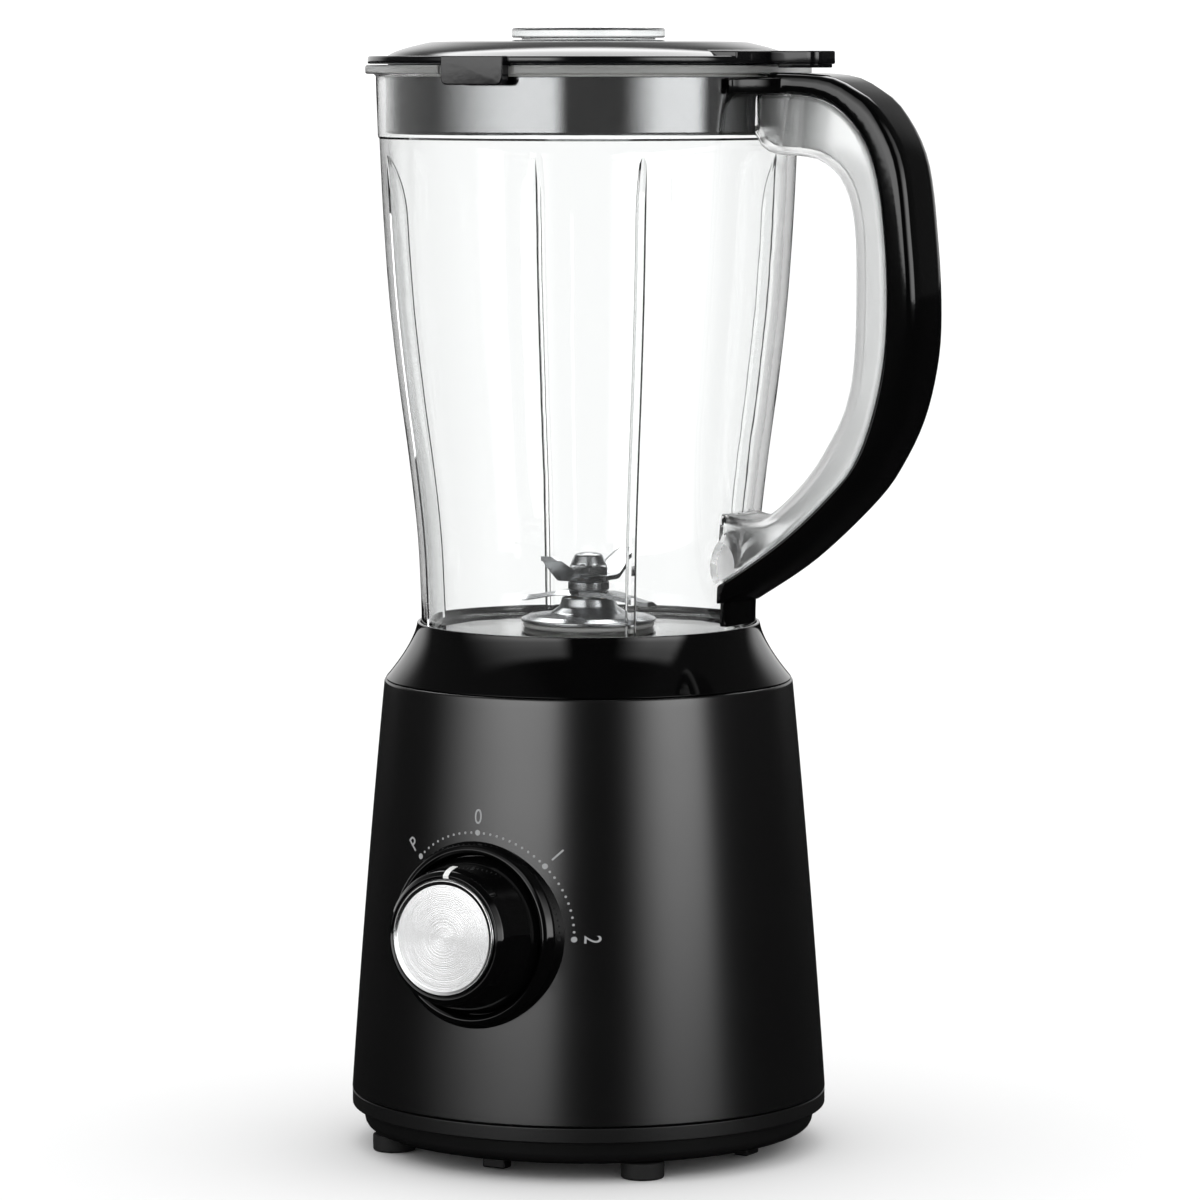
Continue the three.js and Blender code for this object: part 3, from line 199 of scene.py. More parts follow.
def slab(name, outline, half, edge=0, steps=3, matrix=None):
    # an outline in the XZ plane, given a width along Y, with rounded long edges
    front = [Vector((x, -half, z)) for x, z in outline]
    back = [Vector((x, half, z)) for x, z in outline]
    piece = lofted(name, [front, back])
    if edge:
        roundEdges(piece, edge, steps)
    if matrix:
        piece.data.transform(matrix)
    return piece


def plate(name, outline, low, high, edge=0, steps=3):
    # an outline in the XY plane, raised from one height to another
    piece = lofted(name, [[Vector((x, y, z)) for x, y in outline] for z in (low, high)])
    if edge:
        roundEdges(piece, edge, steps)
    return piece


def block(name, low, high, edge=0, steps=3):
    outline = [(low[0], low[1]), (high[0], low[1]), (high[0], high[1]), (low[0], high[1])]
    return plate(name, outline, low[2], high[2], edge, steps)


def applyModifiers(piece):
    bpy.context.view_layer.update()
    solved = piece.evaluated_get(bpy.context.evaluated_depsgraph_get())
    mesh = bpy.data.meshes.new_from_object(solved)
    piece.modifiers.clear()
    piece.data = mesh
    return piece


def roundEdges(piece, width, steps=3, limit=40):
    bevel = piece.modifiers.new("edges", "BEVEL")
    bevel.width = width
    bevel.segments = steps
    bevel.limit_method = "ANGLE"
    bevel.angle_limit = math.radians(limit)
    return applyModifiers(piece)


def combine(piece, operation, tools):
    for tool in tools:
        boolean = piece.modifiers.new("combine", "BOOLEAN")
        boolean.operation = operation
        boolean.solver = "MANIFOLD"
        boolean.object = tool
        applyModifiers(piece)
    for tool in tools:
        bpy.data.objects.remove(tool)
    return piece


def cut(piece, *tools):
    return combine(piece, "DIFFERENCE", tools)


def join(piece, *tools):
    return combine(piece, "UNION", tools)


def common(piece, *tools):
    return combine(piece, "INTERSECT", tools)


def smoothed(piece, limit=32):
    piece.data.shade_smooth()
    piece.data.set_sharp_from_angle(angle=math.radians(limit))
    return piece


def finishPiece(piece, body, nodes, material, limit=32):
    piece.data.transform(toFrame)
    smoothed(piece, limit)
    even = piece.modifiers.new("even shading", "WEIGHTED_NORMAL")
    even.keep_sharp = True
    piece.data.materials.clear()
    piece.data.materials.append(material)
    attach(piece, body)
    if nodes:
        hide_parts(*nodes)
    return piece


def spun(angle):
    return Matrix.Rotation(math.radians(angle), 4, "Z")


def bySide(count, start=0):
    return [start + 360 * i / count for i in range(count)]


def polar(radius, angle):
    return radius * math.cos(math.radians(angle)), radius * math.sin(math.radians(angle))


def upright(radius, low, high, x=0, y=0, faces=smallFaces):
    return turned("tool", [(0, low), (radius, low), (radius, high), (0, high)], faces,
                  Matrix.Translation((x, y, 0)))


def blended(a, b, t):
    return a + (b - a) * t


def throughPoints(points, steps):
    # an even run of points along a smooth curve through the given ones
    padded = [points[0]] + list(points) + [points[-1]]
    fine = []
    for i in range(len(points) - 1):
        p0, p1, p2, p3 = [Vector(p) for p in padded[i:i + 4]]
        for k in range(16):
            t = k / 16
            v0 = (p2 - p0) * 0.5
            v1 = (p3 - p1) * 0.5
            cubic, square = 2 * p1 - 2 * p2 + v0 + v1, -3 * p1 + 3 * p2 - 2 * v0 - v1
            fine.append(cubic * t ** 3 + square * t ** 2 + v0 * t + p1)
    fine.append(Vector(points[-1]))
    lengths = [0]
    for a, b in zip(fine, fine[1:]):
        lengths.append(lengths[-1] + (b - a).length)
    even = []
    at = 0
    for k in range(steps + 1):
        target = lengths[-1] * k / steps
        while at < len(fine) - 2 and lengths[at + 1] < target:
            at += 1
        share = (target - lengths[at]) / max(lengths[at + 1] - lengths[at], 1e-9)
        even.append(fine[at].lerp(fine[at + 1], min(share, 1)))
    return even


def movedAside(line, distance):
    # a line moved sideways in its own plane; a positive distance moves it away from the jar
    moved = []
    for i, spot in enumerate(line):
        along = (line[min(i + 1, len(line) - 1)] - line[max(i - 1, 0)]).normalized()
        moved.append(Vector((spot.x + along.y * distance, spot.y - along.x * distance)))
    return moved


# node tools and the effects that several materials share

def addNode(tree, kind, inputs=None, **settings):
    made = tree.nodes.new("ShaderNode" + kind)
    for key, value in settings.items():
        setattr(made, key, value)
    for key, value in (inputs or {}).items():
        if isinstance(value, bpy.types.NodeSocket):
            tree.links.new(value, made.inputs[key])
        else:
            made.inputs[key].default_value = value
    return made


def calc(tree, operation, *values, clamp=False):
    made = addNode(tree, "Math", dict(enumerate(values)), operation=operation, use_clamp=clamp)
    return made.outputs[0]


def awayFromZ(tree, vector):
    # how far a point is from the Z axis
    flat = addNode(tree, "VectorMath", {0: vector, 1: (1.0, 1.0, 0.0)}, operation="MULTIPLY")
    return addNode(tree, "VectorMath", {0: flat.outputs[0]}, operation="LENGTH").outputs["Value"]


def ramp(tree, value, start, end, low, high):
    made = addNode(tree, "MapRange", {
        "Value": value, "From Min": start, "From Max": end, "To Min": low, "To Max": high},
        interpolation_type="SMOOTHSTEP")
    return made.outputs[0]


def newGroup(name, inputs, outputs):
    tree = bpy.data.node_groups.new(name, "ShaderNodeTree")
    kinds = {float: "NodeSocketFloat", tuple: "NodeSocketColor", str: "NodeSocketVector"}
    for label, value in inputs.items():
        socket = tree.interface.new_socket(name=label, in_out="INPUT", socket_type=kinds[type(value)])
        if not isinstance(value, str):
            socket.default_value = value
    for label, value in outputs.items():
        tree.interface.new_socket(name=label, in_out="OUTPUT", socket_type=kinds[type(value)])
    enter = tree.nodes.new("NodeGroupInput").outputs
    leave = tree.nodes.new("NodeGroupOutput").inputs
    return tree, enter, leave


def makeGrain():
    # the fine texture of a moulded or cast surface
    tree, enter, leave = newGroup(
        "mouldGrain", {"Vector": "", "Scale": 900.0, "Waviness": 0.3}, {"Height": 0.0})
    fine = addNode(tree, "TexNoise", {"Vector": enter["Vector"], "Scale": enter["Scale"], "Detail": 2.0})
    broad = addNode(tree, "TexNoise", {"Vector": enter["Vector"], "Scale": 24.0, "Detail": 1.0})
    waves = calc(tree, "MULTIPLY", broad.outputs["Fac"], enter["Waviness"])
    tree.links.new(calc(tree, "ADD", fine.outputs["Fac"], waves), leave["Height"])
    return tree


def makeSmudge():
    # faint uneven gloss, from handling and dust
    tree, enter, leave = newGroup(
        "unevenGloss", {"Vector": "", "Gloss": 0.2, "Spread": 0.05, "Scale": 30.0}, {"Roughness": 0.0})
    broad = addNode(tree, "TexNoise", {"Vector": enter["Vector"], "Scale": enter["Scale"], "Detail": 4.0})
    centred = calc(tree, "SUBTRACT", broad.outputs["Fac"], 0.5)
    offset = calc(tree, "MULTIPLY", centred, enter["Spread"])
    tree.links.new(calc(tree, "ADD", enter["Gloss"], offset, clamp=True), leave["Roughness"])
    return tree


def makeTone():
    # a colour that wanders a little between two shades
    tree, enter, leave = newGroup(
        "colourDrift",
        {"Vector": "", "Light": (0.5, 0.5, 0.5, 1.0), "Dark": (0.4, 0.4, 0.4, 1.0), "Scale": 40.0},
        {"Color": (0.0, 0.0, 0.0, 1.0)})
    noise = addNode(tree, "TexNoise", {"Vector": enter["Vector"], "Scale": enter["Scale"], "Detail": 3.0})
    mix = addNode(tree, "Mix", data_type="RGBA")
    tree.links.new(noise.outputs["Fac"], mix.inputs["Factor"])
    tree.links.new(enter["Dark"], mix.inputs["A"])
    tree.links.new(enter["Light"], mix.inputs["B"])
    tree.links.new(mix.outputs["Result"], leave["Color"])
    return tree


def makeTurnedLines():
    # fine lines that run round the Z axis of the vector given
    tree, enter, leave = newGroup("turnedLines", {"Vector": "", "Lines": 4000.0}, {"Height": 0.0})
    height = addNode(tree, "SeparateXYZ", {"Vector": enter["Vector"]}).outputs["Z"]
    across = addNode(tree, "CombineXYZ", {"X": awayFromZ(tree, enter["Vector"]), "Y": height})
    noise = addNode(tree, "TexNoise", {"Vector": across.outputs[0], "Scale": enter["Lines"], "Detail": 3.0})
    tree.links.new(noise.outputs["Fac"], leave["Height"])
    return tree


def makeBands():
    # even ridges, such as wires side by side or stacked sheets
    tree, enter, leave = newGroup("evenRidges", {"Position": 0.0, "Pitch": 0.0006}, {"Height": 0.0})
    turns = calc(tree, "DIVIDE", enter["Position"], enter["Pitch"])
    wave = calc(tree, "COSINE", calc(tree, "MULTIPLY", turns, 2 * math.pi))
    tree.links.new(calc(tree, "MULTIPLY_ADD", wave, 0.5, 0.5), leave["Height"])
    return tree


groups = {
    "grain": makeGrain(),
    "gloss": makeSmudge(),
    "tone": makeTone(),
    "lines": makeTurnedLines(),
    "ridges": makeBands(),
}


def addGroup(tree, name, inputs):
    made = tree.nodes.new("ShaderNodeGroup")
    made.node_tree = groups[name]
    for key, value in inputs.items():
        if isinstance(value, bpy.types.NodeSocket):
            tree.links.new(value, made.inputs[key])
        else:
            made.inputs[key].default_value = value
    return made.outputs


def rgba(colour):
    return (*colour, 1.0)


def newMaterial(name, fixed):
    material = bpy.data.materials.new(name)
    material.use_nodes = True
    tree = material.node_tree
    shader = tree.nodes["Principled BSDF"]
    for key, value in fixed.items():
        shader.inputs[key].default_value = value
    place = tree.nodes.new("ShaderNodeTexCoord").outputs["Object"]
    return material, tree, shader, place


def fromAxis(tree, place, matrix=None):
    # the same coordinates, counted from the machine's axis or from another piece's own axis
    middle = toFrame @ matrix if matrix else toFrame
    turn = middle.to_euler()
    moved = addNode(tree, "VectorMath", {0: place, 1: middle.translation}, operation="SUBTRACT")
    rotated = addNode(tree, "VectorRotate", {"Vector": moved.outputs[0], "Rotation": turn},
                      rotation_type="EULER_XYZ", invert=True)
    return rotated.outputs[0]


def useTone(tree, shader, place, look):
    dark = [c * look.get("drift", 0.82) for c in look["colour"]]
    tone = addGroup(tree, "tone", {
        "Vector": place, "Light": rgba(look["colour"]), "Dark": rgba(dark),
        "Scale": look.get("patches", 60.0)})
    tree.links.new(tone["Color"], shader.inputs["Base Color"])


def useGloss(tree, shader, place, look):
    gloss = addGroup(tree, "gloss", {
        "Vector": place, "Gloss": look["roughness"], "Spread": look.get("spread", 0.05),
        "Scale": look.get("smears", 30.0)})
    tree.links.new(gloss["Roughness"], shader.inputs["Roughness"])


def useBump(tree, shader, height, depth):
    bump = addNode(tree, "Bump", {"Height": height, "Strength": 1.0, "Distance": depth})
    tree.links.new(bump.outputs["Normal"], shader.inputs["Normal"])


def plastic(name, look):
    material, tree, shader, place = newMaterial(name, {
        "IOR": look.get("ior", 1.5), "Specular IOR Level": look.get("specular", 0.5)})
    useTone(tree, shader, place, look)
    useGloss(tree, shader, place, look)
    grain = addGroup(tree, "grain", {
        "Vector": place, "Scale": look.get("grain", 1200.0), "Waviness": look.get("waviness", 0.0)})
    useBump(tree, shader, grain["Height"], look.get("depth", 0.00001))
    return material


def turnedMetal(name, look, matrix=None):
    material, tree, shader, place = newMaterial(name, {"Metallic": 1.0})
    useTone(tree, shader, place, look)
    useGloss(tree, shader, place, look)
    centred = fromAxis(tree, place, matrix)
    lines = addGroup(tree, "lines", {"Vector": centred, "Lines": look.get("lines", 4000.0)})
    useBump(tree, shader, lines["Height"], look.get("depth", 0.00001))
    return material


def clearPlastic(name, look):
    material, tree, shader, place = newMaterial(name, {
        "Base Color": rgba(look["colour"]), "Transmission Weight": 1.0, "IOR": look["ior"]})
    useGloss(tree, shader, place, look)
    if "frost" in look:
        # the parts that stand out from the jar's wall are less clear than the wall
        start, full, amount = look["frost"]
        low, high, foot, top = look["wall"]
        centred = fromAxis(tree, place)
        height = addNode(tree, "SeparateXYZ", {"Vector": centred}).outputs["Z"]
        beyond = calc(tree, "SUBTRACT", awayFromZ(tree, centred), ramp(tree, height, low, high, foot, top))
        frost = ramp(tree, beyond, start, full, 0.0, amount)
        smooth = shader.inputs["Roughness"].links[0].from_socket
        tree.links.new(calc(tree, "ADD", smooth, frost), shader.inputs["Roughness"])
    grain = addGroup(tree, "grain", {"Vector": place, "Scale": look["grain"], "Waviness": look["waviness"]})
    useBump(tree, shader, grain["Height"], look["depth"])
    return material


def ridgedMetal(name, look, along):
    # wires or sheets side by side, with painted shade in the grooves between them; along is "radius" or "height"
    material, tree, shader, place = newMaterial(name, {"Metallic": 1.0})
    useGloss(tree, shader, place, look)
    centred = fromAxis(tree, place)
    if along == "radius":
        position = awayFromZ(tree, centred)
    else:
        position = addNode(tree, "SeparateXYZ", {"Vector": centred}).outputs["Z"]
    ridges = addGroup(tree, "ridges", {"Position": position, "Pitch": look["pitch"]})
    # painted shade: the colour falls to 0.45 of itself in the grooves between the ridges, where shade would fall
    mix = addNode(tree, "Mix", data_type="RGBA")
    mix.inputs["A"].default_value = rgba([c * 0.45 for c in look["colour"]])
    mix.inputs["B"].default_value = rgba(look["colour"])
    tree.links.new(ridges["Height"], mix.inputs["Factor"])
    tree.links.new(mix.outputs["Result"], shader.inputs["Base Color"])
    useBump(tree, shader, ridges["Height"], look["depth"])
    return material


satinBlack = plastic("satinBlack", {
    "colour": (0.0015, 0.0015, 0.0016), "roughness": 0.25, "spread": 0.04, "specular": 0.6, "ior": 1.65,
    "grain": 1500.0, "depth": 0.000004})
glossBlack = plastic("glossBlack", {
    "colour": (0.0015, 0.0015, 0.0016), "roughness": 0.07, "spread": 0.03, "specular": 0.46,
    "grain": 500.0, "waviness": 1.0, "depth": 0.000006})
lidBlack = plastic("lidBlack", {
    "colour": (0.004, 0.004, 0.0045), "roughness": 0.09, "spread": 0.04, "specular": 0.62,
    "grain": 500.0, "waviness": 1.0, "depth": 0.000006})
mattBlack = plastic("mattBlack", {
    "colour": (0.004, 0.004, 0.0042), "roughness": 0.38, "spread": 0.1, "grain": 1100.0, "depth": 0.00003})
blackRubber = plastic("blackRubber", {
    "colour": (0.012, 0.012, 0.012), "roughness": 0.7, "spread": 0.2, "specular": 0.35,
    "grain": 700.0, "depth": 0.00006})
sealRubber = plastic("sealRubber", {
    "colour": (0.62, 0.62, 0.6), "roughness": 0.5, "spread": 0.1, "grain": 700.0, "depth": 0.00003})
whitePlastic = plastic("whitePlastic", {
    "colour": (0.72, 0.7, 0.64), "roughness": 0.42, "drift": 0.92, "grain": 900.0, "depth": 0.00002})
redPlastic = plastic("redPlastic", {
    "colour": (0.2, 0.008, 0.006), "roughness": 0.42, "grain": 900.0, "depth": 0.00002})
graphite = plastic("graphite", {
    "colour": (0.024, 0.024, 0.026), "roughness": 0.6, "spread": 0.2, "grain": 1600.0, "depth": 0.00004})
printInk = plastic("printInk", {
    "colour": (0.33, 0.335, 0.34), "roughness": 0.5, "drift": 0.85, "grain": 2500.0, "depth": 0.000005})
markWhite = plastic("markWhite", {
    "colour": (0.85, 0.85, 0.84), "roughness": 0.35, "drift": 0.95, "grain": 1200.0, "depth": 0.00001})
jarClear = clearPlastic("jarClear", {
    "colour": (0.985, 0.992, 0.99), "roughness": 0.015, "spread": 0.02, "ior": 1.5,
    "wall": (0.183, 0.3426, 0.0568, 0.0705),   # the wall's lower and upper height, and its radius there
    "frost": (0.0013, 0.003, 0.3),   # starts and is full this far out from the wall
    "grain": 40.0, "waviness": 0.5, "depth": 0.00006})
cupClear = clearPlastic("cupClear", {
    "colour": (0.8, 0.82, 0.82), "roughness": 0.12, "spread": 0.06, "ior": 1.48,
    "grain": 60.0, "waviness": 0.5, "depth": 0.00006})
bandSteel = turnedMetal("bandSteel", {
    "colour": (0.21, 0.212, 0.215), "drift": 0.94, "roughness": 0.08, "spread": 0.03, "lines": 2600.0,
    "depth": 0.000004})
bladeSteel = turnedMetal("bladeSteel", {
    "colour": (0.5, 0.51, 0.52), "drift": 0.9, "roughness": 0.24, "spread": 0.08, "lines": 3000.0,
    "depth": 0.00001})
zincSteel = turnedMetal("zincSteel", {
    "colour": (0.42, 0.44, 0.45), "roughness": 0.33, "spread": 0.14, "lines": 2400.0, "depth": 0.00001})
bronze = turnedMetal("bronze", {
    "colour": (0.36, 0.2, 0.075), "roughness": 0.42, "spread": 0.14, "lines": 1800.0, "depth": 0.00002})
copperBar = turnedMetal("copperBar", {
    "colour": (0.6, 0.26, 0.1), "roughness": 0.28, "spread": 0.1, "lines": 2600.0, "depth": 0.00001})
copperWire = ridgedMetal("copperWire", {
    "colour": (0.5, 0.16, 0.045), "roughness": 0.34, "pitch": 0.0009, "depth": 0.0003}, "radius")
sheetSteel = ridgedMetal("sheetSteel", {
    "colour": (0.24, 0.245, 0.25), "roughness": 0.42, "pitch": 0.0011, "depth": 0.00016}, "height")
discMetal = turnedMetal("discMetal", {
    "colour": (0.8, 0.803, 0.807), "drift": 0.94, "roughness": 0.18, "spread": 0.04, "lines": 5200.0,
    "depth": 0.00003}, dialMatrix)
print("materials made")


# motor base

housingSize = {
    "bulge": 0.5, "wall": 2.6, "deckInner": 59, "topEdge": 1.0, "bottomEdge": 0.5, "inletGap": 0.3,
    "bezelLap": 0.6, "drillReach": 20}
inletSize = {"bore": 3.6, "neck": 6, "lip": 7.6, "barb": 8, "lipHeight": 1.9}
housingSpan = Span("housing")
collarSpan = Span("collar")
seamRadius = collarSpan.radius + 0.4


def housingRadius(z):
    t = (z - housingSpan.bottom) / (housingSpan.top - housingSpan.bottom)
    return blended(housingSpan.radius, seamRadius, t) + 4 * housingSize["bulge"] * t * (1 - t)


def drill(radius, matrix, faces=smallFaces):
    # a cutter through the housing's wall
    half = housingSize["drillReach"]
    return turned("drill", [(0, -half), (radius, -half), (radius, half), (0, half)], faces, matrix)


def makeHousing():
    s = housingSize
    low, high = housingSpan.bottom, housingSpan.top
    rings = 36
    heights = [blended(low, high, i / rings) for i in range(rings + 1)]
    outer = [(housingRadius(z), z, 0) for z in heights]
    outer[0] = (outer[0][0], low, s["bottomEdge"])
    outer[-1] = (outer[-1][0], high, s["topEdge"])
    deck = high - s["wall"]
    inner = [
        (s["deckInner"], high, 0.3),
        (s["deckInner"], deck, 0.3),
        (housingRadius(deck) - s["wall"], deck, 1.0),
        (housingRadius((low + high) / 2) - s["wall"], (low + high) / 2),
        (housingRadius(low) - s["wall"], low),
    ]
    shell = turned("housingShell", outer + inner)
    bezelRadius = Span("knob_bezel").radius
    dialHole = drill(bezelRadius - s["bezelLap"], dialMatrix, 96)
    inlet = Span("cable_inlet").middle.z
    inletHole = drill(inletSize["neck"] + s["inletGap"], Matrix.Translation((0, housingRadius(inlet), inlet))
                      @ Matrix.Rotation(math.radians(90), 4, "X"))
    cut(shell, dialHole, inletHole)
    return finishPiece(shell, "base", ["housing"], satinBlack)


collarSize = {
    "topRadius": 58.2, "wall": 2.6, "socket": 57.2, "seat": 166.6, "well": 42, "wellFloor": 149, "shaftHole": 7,
    "curve": 1.5, "seam": 0.3, "skirt": 0.8, "pinCircle": 55, "pinHole": 2.4}


def makeCollar():
    s = collarSize
    low, high = housingSpan.top + s["seam"], collarSpan.top
    steps = 22
    flank = []
    for i in range(steps + 1):
        z = blended(low + s["skirt"], high, i / steps)
        down = (high - z) / (high - low)
        flank.append((blended(s["topRadius"], collarSpan.radius, down ** s["curve"]), z))
    flank[-1] = (s["topRadius"], high, 0.6)
    platform = s["seat"] - s["wall"]
    ring = turned("collarRing", [(collarSpan.radius, low, 0.2)] + flank + [
        (s["socket"], high, 0.3),
        (s["socket"], s["seat"], 0.6),
        (s["well"], s["seat"], 0.8),
        (s["well"], s["wellFloor"], 1.5),
        (s["shaftHole"], s["wellFloor"], 0.4),
        (s["shaftHole"], s["wellFloor"] - s["wall"]),
        (s["well"] + s["wall"], s["wellFloor"] - s["wall"], 2.5),
        (s["well"] + s["wall"], platform, 0.5),
        (housingSize["deckInner"] + 1, platform),
        (housingSize["deckInner"] + 1, low),
    ])
    cut(ring, upright(s["pinHole"], platform - 2, s["seat"] + 2, s["pinCircle"]))
    return finishPiece(ring, "base", ["collar"], glossBlack)


panSize = {
    "recess": 77.2, "lipBottom": 14, "lipTop": 19.1, "floor": 2.6, "wall": 2.4, "underside": 6, "edge": 5,
    "spigot": 77.5, "footCircle": 68.4, "footHole": 3.4, "screwCircle": 66, "screwHole": 3.8, "screwStart": 22.5,
    "nubCircle": 61.4, "nubWidth": 8.5, "nubDepth": 5, "vents": 10, "ventStart": 9}


def makePan():
    s = panSize
    span = Span("bottom_pan")
    floorTop = s["underside"] + s["floor"]
    lip = span.radius
    pan = turned("bottomPan", [
        (0, s["underside"]),
        (s["recess"] - 1, s["underside"], s["edge"]),
        (s["recess"], s["lipBottom"] - 0.5, 0.4),
        (lip, s["lipBottom"], 0.6),
        (lip, s["lipTop"], 0.4),
        (s["spigot"], s["lipTop"], 0.3),
        (s["spigot"], span.top, 0.6),
        (s["spigot"] - s["wall"], span.top, 0.6),
        (s["spigot"] - s["wall"], floorTop, 2),
        (0, floorTop),
    ])
    towers = [upright(5.5, floorTop - 1, housingSpan.bottom - 0.6, *polar(s["screwCircle"], a))
              for a in bySide(4, s["screwStart"])]
    nubs = []
    for angle in bySide(4):
        half = s["nubWidth"] / 2
        nub = block("nub", (s["nubCircle"] - s["nubDepth"] / 2, -half, span.bottom),
                    (s["nubCircle"] + s["nubDepth"] / 2, half, floorTop - 0.6), 0.6)
        nub.data.transform(spun(angle))
        nubs.append(nub)
    join(pan, *towers, *nubs)
    holes = [upright(s["footHole"], 0, 14, *polar(s["footCircle"], a)) for a in bySide(4, 45)]
    for angle in bySide(4, s["screwStart"]):
        x, y = polar(s["screwCircle"], angle)
        holes.append(upright(s["screwHole"], 0, 13.8, x, y))
        holes.append(upright(1.9, 0, 24, x, y))
    for angle in bySide(s["vents"], s["ventStart"]):
        vent = block("vent", (22, -2.4, 0), (44, 2.4, floorTop + 2), 1.2)
        vent.data.transform(spun(angle))
        holes.append(vent)
    cut(pan, *holes)
    return finishPiece(pan, "base", ["bottom_pan"], mattBlack)


footSize = {"radius": 7.25, "pad": 5.7, "stem": 3, "edge": 1.1, "dish": 0.5, "dishRadius": 4.2}


def makeFeet():
    s = footSize
    for i, angle in enumerate(bySide(4, 45), 1):
        span = Span(f"foot_{i}")
        x, y = polar(panSize["footCircle"], angle)
        foot = turned(f"rubberFoot_{i}", [
            (0, span.bottom + s["dish"]),
            (s["dishRadius"] - 0.4, span.bottom + s["dish"], 0.2),
            (s["dishRadius"], span.bottom, 0.3),
            (s["radius"], span.bottom, s["edge"]),
            (s["radius"], s["pad"], 0.5),
            (s["stem"], s["pad"], 0.3),
            (s["stem"], span.top, 0.6),
            (0, span.top),
        ], smallFaces, Matrix.Translation((x, y, 0)))
        finishPiece(foot, "base", [f"foot_{i}"], blackRubber)


screwSize = {
    "head": 3.4, "thread": 1.45, "threadDepth": 0.25, "headHeight": 2.4, "plain": 3, "pitch": 1.0, "tip": 1.6,
    "slot": 0.9, "slotLength": 4.2, "slotDepth": 1.4}


def makeScrews():
    s = screwSize
    for i, angle in enumerate(bySide(4, panSize["screwStart"]), 1):
        span = Span(f"pan_screw_{i}")
        x, y = polar(panSize["screwCircle"], angle)
        seat = span.bottom + s["headHeight"]
        root = s["thread"] - s["threadDepth"]
        profile = [
            (0, span.bottom), (s["head"], span.bottom, 1.0), (s["head"], seat, 0.2), (s["thread"], seat)]
        z = seat + s["plain"]
        while z < span.top - s["tip"] - 0.9:
            profile += [(root, z), (s["thread"], z + s["pitch"] / 2)]
            z += s["pitch"]
        profile += [(root, span.top - s["tip"]), (0, span.top)]
        screw = turned(f"panScrew_{i}", profile, 32, Matrix.Translation((x, y, 0)))
        reach, half = s["slotLength"] / 2, s["slot"] / 2
        cross = []
        for turn in (0, 90):
            slot = block("slot", (-reach, -half, -1), (reach, half, s["slotDepth"]))
            slot.data.transform(Matrix.Translation((x, y, span.bottom)) @ spun(turn))
            cross.append(slot)
        cut(screw, *cross)
        finishPiece(screw, "base", [f"pan_screw_{i}"], zincSteel)


def makeInlet():
    s = inletSize
    span = Span("cable_inlet")
    out = span.high.y
    inner = span.low.y - out
    bush = turned("cableInlet", [
        (s["bore"], inner, 0.4),
        (s["barb"], inner + 1, 0.6),
        (s["barb"], inner + 2, 0.2),
        (s["neck"], inner + 2),
        (s["neck"], -s["lipHeight"]),
        (s["lip"], -s["lipHeight"], 0.3),
        (s["lip"] - 0.5, 0, 0.8),
        (s["bore"], 0, 0.8),
    ], smallFaces, Matrix.Translation((0, out, span.middle.z)) @ Matrix.Rotation(math.radians(-90), 4, "X"))
    return finishPiece(bush, "base", ["cable_inlet"], blackRubber)


makeHousing()
makeCollar()
makePan()
makeFeet()
makeScrews()
makeInlet()
print("base made")


# knob, its ring and the printed scale

bezelSize = {"outer": 31, "inner": 26.6, "rise": 3.3, "floor": -1.5, "depth": 9, "shaftHole": 3.4}


def makeBezel():
    s = bezelSize
    ring = turned("knobBezel", [
        (s["shaftHole"], s["floor"]),
        (s["inner"], s["floor"], 0.4),
        (s["inner"] + 0.5, s["rise"] - 0.6, 0.5),
        (s["inner"] + 1.6, s["rise"], 0.7),
        (s["outer"] - 1.4, s["rise"] - 0.7, 1.6),
        (s["outer"], s["rise"] - 3.2, 2.4),
        (s["outer"], -s["depth"], 0.4),
        (s["outer"] - 2.4, -s["depth"], 0.4),
        (s["outer"] - 2.4, s["floor"] - 2.4),
        (s["shaftHole"], s["floor"] - 2.4),
    ], turnedFaces, dialMatrix)
    return finishPiece(ring, "base", ["knob_bezel"], glossBlack)


knobSize = {
    "reach": 19.9, "base": 26, "face": 22.9, "disc": 19.2, "discDepth": 1.9, "wall": 2.2, "hub": 6.2, "bore": 3.3,
    "markWidth": 2.0, "markFrom": 19.7, "markTo": 22.75}


def makeKnob():
    s = knobSize
    back = bezelSize["floor"] + 2.3
    face = s["reach"] - s["discDepth"]
    body = turned("knobBody", [
        (0, face - 0.3),
        (s["disc"] + 0.3, face - 0.3, 0.1),
        (s["disc"] + 0.3, s["reach"] - 0.9, 0.2),
        (s["disc"] + 1.2, s["reach"] - 0.6, 0.5),
        (s["face"] - 1, s["reach"] - 2.2, 1.6),
        (s["face"], s["reach"] - 5, 3.0),
        (s["face"] + 0.6, s["reach"] - 7.8, 4.0),
        (s["base"], back + 0.5, 0.6),
        (s["base"] - 0.6, back),
        (s["base"] - s["wall"], back),
        (s["face"] - s["wall"], face - 3.2, 1),
        (s["hub"], face - 3.2, 0.5),
        (s["hub"], back + 1, 0.3),
        (s["bore"], back + 1),
        (s["bore"], face - 4),
        (0, face - 4),
    ], turnedFaces, dialMatrix)
    finishPiece(body, "knob", ["knob"], glossBlack)
    disc = turned("knobDisc", [
        (0, face),
        (s["disc"], face),
        (s["disc"], s["reach"] - 0.3, 0.25),
        (s["disc"] - 0.55, s["reach"], 0.25),
        (s["disc"] - 1.5, s["reach"] - 0.42, 0.2),
        (s["disc"] - 1.8, s["reach"] - 0.5, 0.2),
        (s["disc"] * 0.5, s["reach"] - 0.5),
        (0, s["reach"] - 0.5),
    ], turnedFaces, dialMatrix)
    finishPiece(disc, "knob", ["knob_disc"], discMetal)


